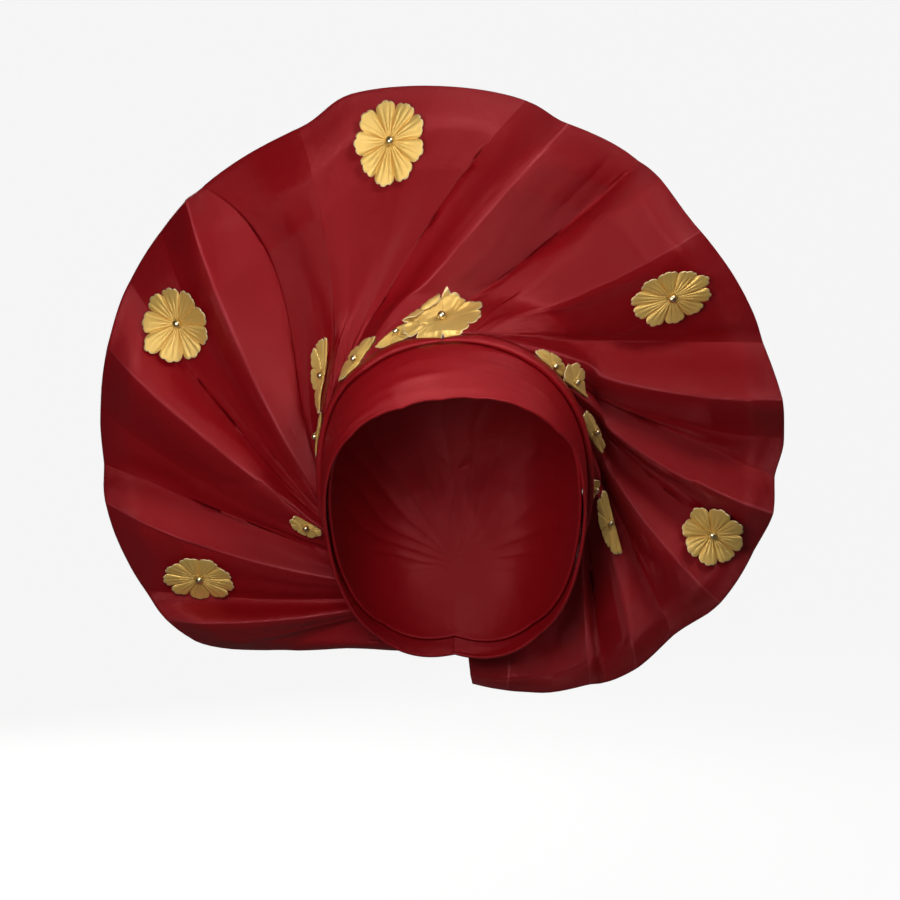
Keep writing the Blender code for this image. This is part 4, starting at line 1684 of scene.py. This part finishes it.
    def _drape(self, ground: Ground) -> Array:
        """Heights of a stiff satin net that bridges the folds below it.

        Args:
            ground: What the net lies on.

        Returns:
            Heights over the plane [ring][column] from the middle outwards.
        """
        rings = np.arange(self.net_rings)[:, None] / (self.net_rings - 1.0)
        turns = round_turns(self.net_columns)[None, :]
        points = self._on_plane(rings * np.cos(turns), rings * np.sin(turns))
        flat = points.reshape(-1, 3)
        floor = ground.heights(flat, self.normal) + self.gap
        apart = np.linalg.norm(flat[:, None] - flat[None, :], axis=-1)
        floor = (floor[None, :] - self.steepest * apart).max(axis=1).reshape(points.shape[:2])
        heights = floor.copy()
        kept = 1.0 - self.pull_around - self.pull_outwards
        for _ in range(self.relaxing):
            around = 0.5 * (np.roll(heights, 1, axis=1) + np.roll(heights, -1, axis=1))
            inner = np.vstack([heights[:1], heights[:-1]])
            outer = np.vstack([heights[1:], 2.0 * heights[-1:] - heights[-2:-1]])
            pulled = self.pull_around * around + 0.5 * self.pull_outwards * (inner + outer)
            heights = np.maximum(kept * heights + pulled, floor)
            heights[0] = max(float(heights[1].mean()), float(floor[0].max()))
        return heights

    def _read_net(self, heights: Array, along: Array, across: Array) -> Array:
        """Read the net's height.

        Args:
            heights: Heights of the net [ring][column].
            along: Places along the folds, as shares of the half length.
            across: Places across the folds, as shares of the half width.

        Returns:
            The height at each place.
        """
        ring = np.minimum(np.hypot(along, across), 1.0) * (self.net_rings - 1.0)
        column = (np.arctan2(across, along) / (2.0 * math.pi) % 1.0) * self.net_columns
        low, left = np.minimum(ring.astype(int), self.net_rings - 2), column.astype(int)
        up, right = ring - low, column - left
        left, after = left % self.net_columns, (left + 1) % self.net_columns
        inner = heights[low, left] * (1.0 - right) + heights[low, after] * right
        outer = heights[low + 1, left] * (1.0 - right) + heights[low + 1, after] * right
        return inner * (1.0 - up) + outer * up

    def _mark(self, mesh: bpy.types.Mesh, places: Array) -> None:
        """Write the UV map and the attribute of the hot-cut edge.

        Args:
            mesh: The flower.
            places: Place of each point on the ribbon, in millimetres.
        """
        counts: dict[tuple[int, int], int] = {}
        for face in mesh.polygons:
            for key in face.edge_keys:
                counts[key] = counts.get(key, 0) + 1
        rim = np.zeros(len(places), np.float32)
        for key, count in counts.items():
            if count == 1:
                rim[list(key)] = 1.0
        mesh.attributes.new("edge", "FLOAT", "POINT").data.foreach_set("value", rim)
        layer = mesh.uv_layers.get("cloth") or mesh.uv_layers.new(name="cloth")
        numbers = np.zeros(len(mesh.loops), int)
        mesh.loops.foreach_get("vertex_index", numbers)
        layer.data.foreach_set("uv", (places[numbers] * MM).ravel())

    def _sew_bead(self, ground: Ground) -> None:
        """Turn the bead on its profile and sew it on with a thread through its hole.

        Args:
            ground: What the bead lies on.
        """
        across, _ = self._fold(np.zeros(1))
        point = self._on_plane(np.zeros(1), across)
        normal, axis = self.normal, unit(self.ahead)
        side = np.cross(normal, axis)
        top = float(ground.heights(point, normal)[0])
        radius = self.small_bead if self.slim else self.bead_radius
        middle = point[0] + normal * (top + radius - self.bead_sink)
        start = math.asin(self.bead_hole / radius)
        bends = np.linspace(start, math.pi - start, self.bead_rows)
        profile = np.stack([-np.cos(bends), np.sin(bends)], axis=-1) * radius
        hole = [(end * self.hole_length * profile[-1, 0], self.bead_hole) for end in (1.0, -1.0)]
        profile = np.vstack([profile, hole])
        turns = round_turns(self.bead_columns)
        ring = np.cos(turns)[:, None] * normal + np.sin(turns)[:, None] * side
        points = middle + profile[None, :, :1] * axis + profile[None, :, 1:] * ring[:, None, :]
        points = np.concatenate([points, points[:, :1]], axis=1)
        name = "bead_" + self.row.name
        mesh = grid_sheet(name, points, closed=True)
        close_mesh(mesh)
        piece = make_piece(name + "_ball", mesh, self.metal, [name])
        bow = np.linspace(-1.0, 1.0, self.thread_rows)[:, None]
        drop = self.thread_drop * radius * np.abs(bow) ** 3
        path = middle + axis * bow * (radius + self.thread_reach) - normal * drop
        self._thread(name + "_thread", path, normal, name)
        log.info("%s: %.1f mm across", piece.name, 2.0 * radius)

    def _thread(self, name: str, path: Array, normal: Array, node: str) -> None:
        """Sweep a round thread along a path.

        Args:
            name: Name of the piece.
            path: Points of its middle line.
            normal: Direction out of the flower.
            node: Node of the bead that it holds.
        """
        ahead = unit(np.gradient(path, axis=0))
        side = unit(np.cross(ahead, normal))
        over = np.cross(side, ahead)
        turns = round_turns(self.thread_columns)[:, None, None]
        points = path + self.thread_radius * (np.cos(turns) * side + np.sin(turns) * over)
        mesh = grid_sheet(name, points, closed=True)
        close_mesh(mesh)
        make_piece(name, mesh, self.thread, [node])


@dataclass(frozen=True)
class Lamp:
    """A soft square lamp aimed at the middle of the fan, with lengths in metres."""

    name: str
    place: tuple[float, float, float]
    size: float
    power: float


LAMPS = (
    Lamp("key", (0.35, -0.45, 0.5), 0.2, 2.6),
    Lamp("front fill", (-0.12, -0.45, 0.0), 0.2, 1.5),
    Lamp("crown", (0.2, 0.6, 1.3), 0.8, 1.0),
    Lamp("back", (-0.6, 1.7, 0.5), 1.2, 16.0),
)


@dataclass(frozen=True)
class Studio:
    """A pale floor and sweep, soft lamps, and the camera at the photograph's angle."""

    camera_place: tuple[float, float, float] = (-0.0027, -CAMERA_DISTANCE * MM, -0.0654)
    lens: float = 111.0
    sensor: float = 36.0
    floor_height: float = -0.42
    floor_size: float = 14.0
    bend_radius: float = 1.2
    bend_points: int = 13
    wall_distance: float = 3.0
    wall_top: float = 4.0
    paper_colour: str = "#5A5A58"
    paper_roughness: float = 0.9
    paper_glow: float = 0.9
    target: tuple[float, float, float] = (0.0, 0.0, -0.05)
    ambient: float = 0.14

    def build(self) -> None:
        """Set up the studio."""
        self._camera()
        self._sweep()
        self._world()
        for lamp in LAMPS:
            self._lamp(lamp)
        bpy.context.scene.view_settings.view_transform = "Standard"
        log.info("studio: %d lamps", len(LAMPS))

    def _camera(self) -> None:
        """Level camera in front of the face."""
        data = bpy.data.cameras.new("camera")
        data.lens = self.lens
        data.sensor_width = self.sensor
        camera = new_object("camera", data)
        camera.location = self.camera_place
        camera.rotation_euler = (0.5 * math.pi, 0.0, 0.0)
        bpy.context.scene.camera = camera

    def _sweep(self) -> None:
        """Pale floor that curves up into a backdrop."""
        half, far, radius = 0.5 * self.floor_size, self.wall_distance, self.bend_radius
        profile = [(-half, self.floor_height)]
        for bend in np.linspace(0.0, 0.5 * math.pi, self.bend_points):
            out, up = math.sin(bend) - 1.0, 1.0 - math.cos(bend)
            profile.append((far + radius * out, self.floor_height + radius * up))
        profile.append((far, self.wall_top))
        corners = [(x, y, z) for x in (-half, half) for y, z in profile]
        count = len(profile)
        faces = [(i, i + 1, count + i + 1, count + i) for i in range(count - 1)]
        mesh = bpy.data.meshes.new("floor")
        mesh.from_pydata(corners, [], faces)
        mesh.shade_smooth()
        floor = new_object("floor", mesh)
        values = {
            "Base Color": linear(self.paper_colour),
            "Roughness": self.paper_roughness,
            "Emission Color": linear("#FFFFFF"),
        }
        paper, tree, shader = new_material("matt_backdrop_paper", values)
        rays = add_node(tree, "ShaderNodeLightPath").outputs
        bounce = Signal(tree, rays["Is Diffuse Ray"]) * self.ambient
        glow = Signal(tree, rays["Is Camera Ray"]) * self.paper_glow + bounce
        tree.links.new(glow.socket, shader.inputs["Emission Strength"])
        mesh.materials.append(paper)

    def _world(self) -> None:
        """Even pale surroundings, white to the camera, dimmer as a light and dark in reflections."""
        world = bpy.data.worlds.new("studio")
        bpy.context.scene.world = world
        world.use_nodes = True
        tree = world.node_tree
        tree.nodes.clear()
        rays = add_node(tree, "ShaderNodeLightPath").outputs
        glow = {"Strength": (Signal(tree, rays["Is Glossy Ray"]) * -self.ambient + self.ambient).socket}
        white = {"Color": linear("#FFFFFF")}
        dim = add_node(tree, "ShaderNodeBackground", {}, white, glow).outputs[0]
        seen = add_node(tree, "ShaderNodeBackground", {}, {**white, "Strength": 1.0}).outputs[0]
        links = {0: rays["Is Camera Ray"], 1: dim, 2: seen}
        mixed = add_node(tree, "ShaderNodeMixShader", links=links).outputs[0]
        add_node(tree, "ShaderNodeOutputWorld", links={"Surface": mixed})

    def _lamp(self, lamp: Lamp) -> None:
        """Place one lamp.

        Args:
            lamp: The lamp.
        """
        data = bpy.data.lights.new(lamp.name, "AREA")
        data.size = lamp.size
        data.energy = lamp.power
        light = new_object(lamp.name, data)
        light.location = lamp.place
        light.visible_camera = False
        way = Vector(self.target) - Vector(lamp.place)
        light.rotation_euler = way.to_track_quat("-Z", "Y").to_euler()


def main() -> None:
    """Build and report each piece of the head tie."""
    logging.basicConfig(level=logging.INFO, format="%(message)s")
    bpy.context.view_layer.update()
    taffeta = TAFFETA.build()
    satin, thread, metal = GOLD_SATIN.build(), GOLD_THREAD.build(), BeadMetal().build()
    head = HeadForm()
    band = BandLine(head)
    form = FanForm(head, band)
    ForeheadBand(head, band, taffeta).build()
    CrownCap(head, band, taffeta).build()
    ground = Ground()
    for row in ROLLS:
        ground.add(WrapFold(row, head, band, taffeta).build())
    ground.add(Fan(form, taffeta).build())
    NapeKnot(head, taffeta).build()
    stamp = PetalStamp()
    tree = stamp.tree()
    for row in FLOWERS:
        FlowerTrim(row, form, satin, metal, thread).build(ground, stamp, tree)
    Studio().build()


if __name__ == "__main__":
    main()
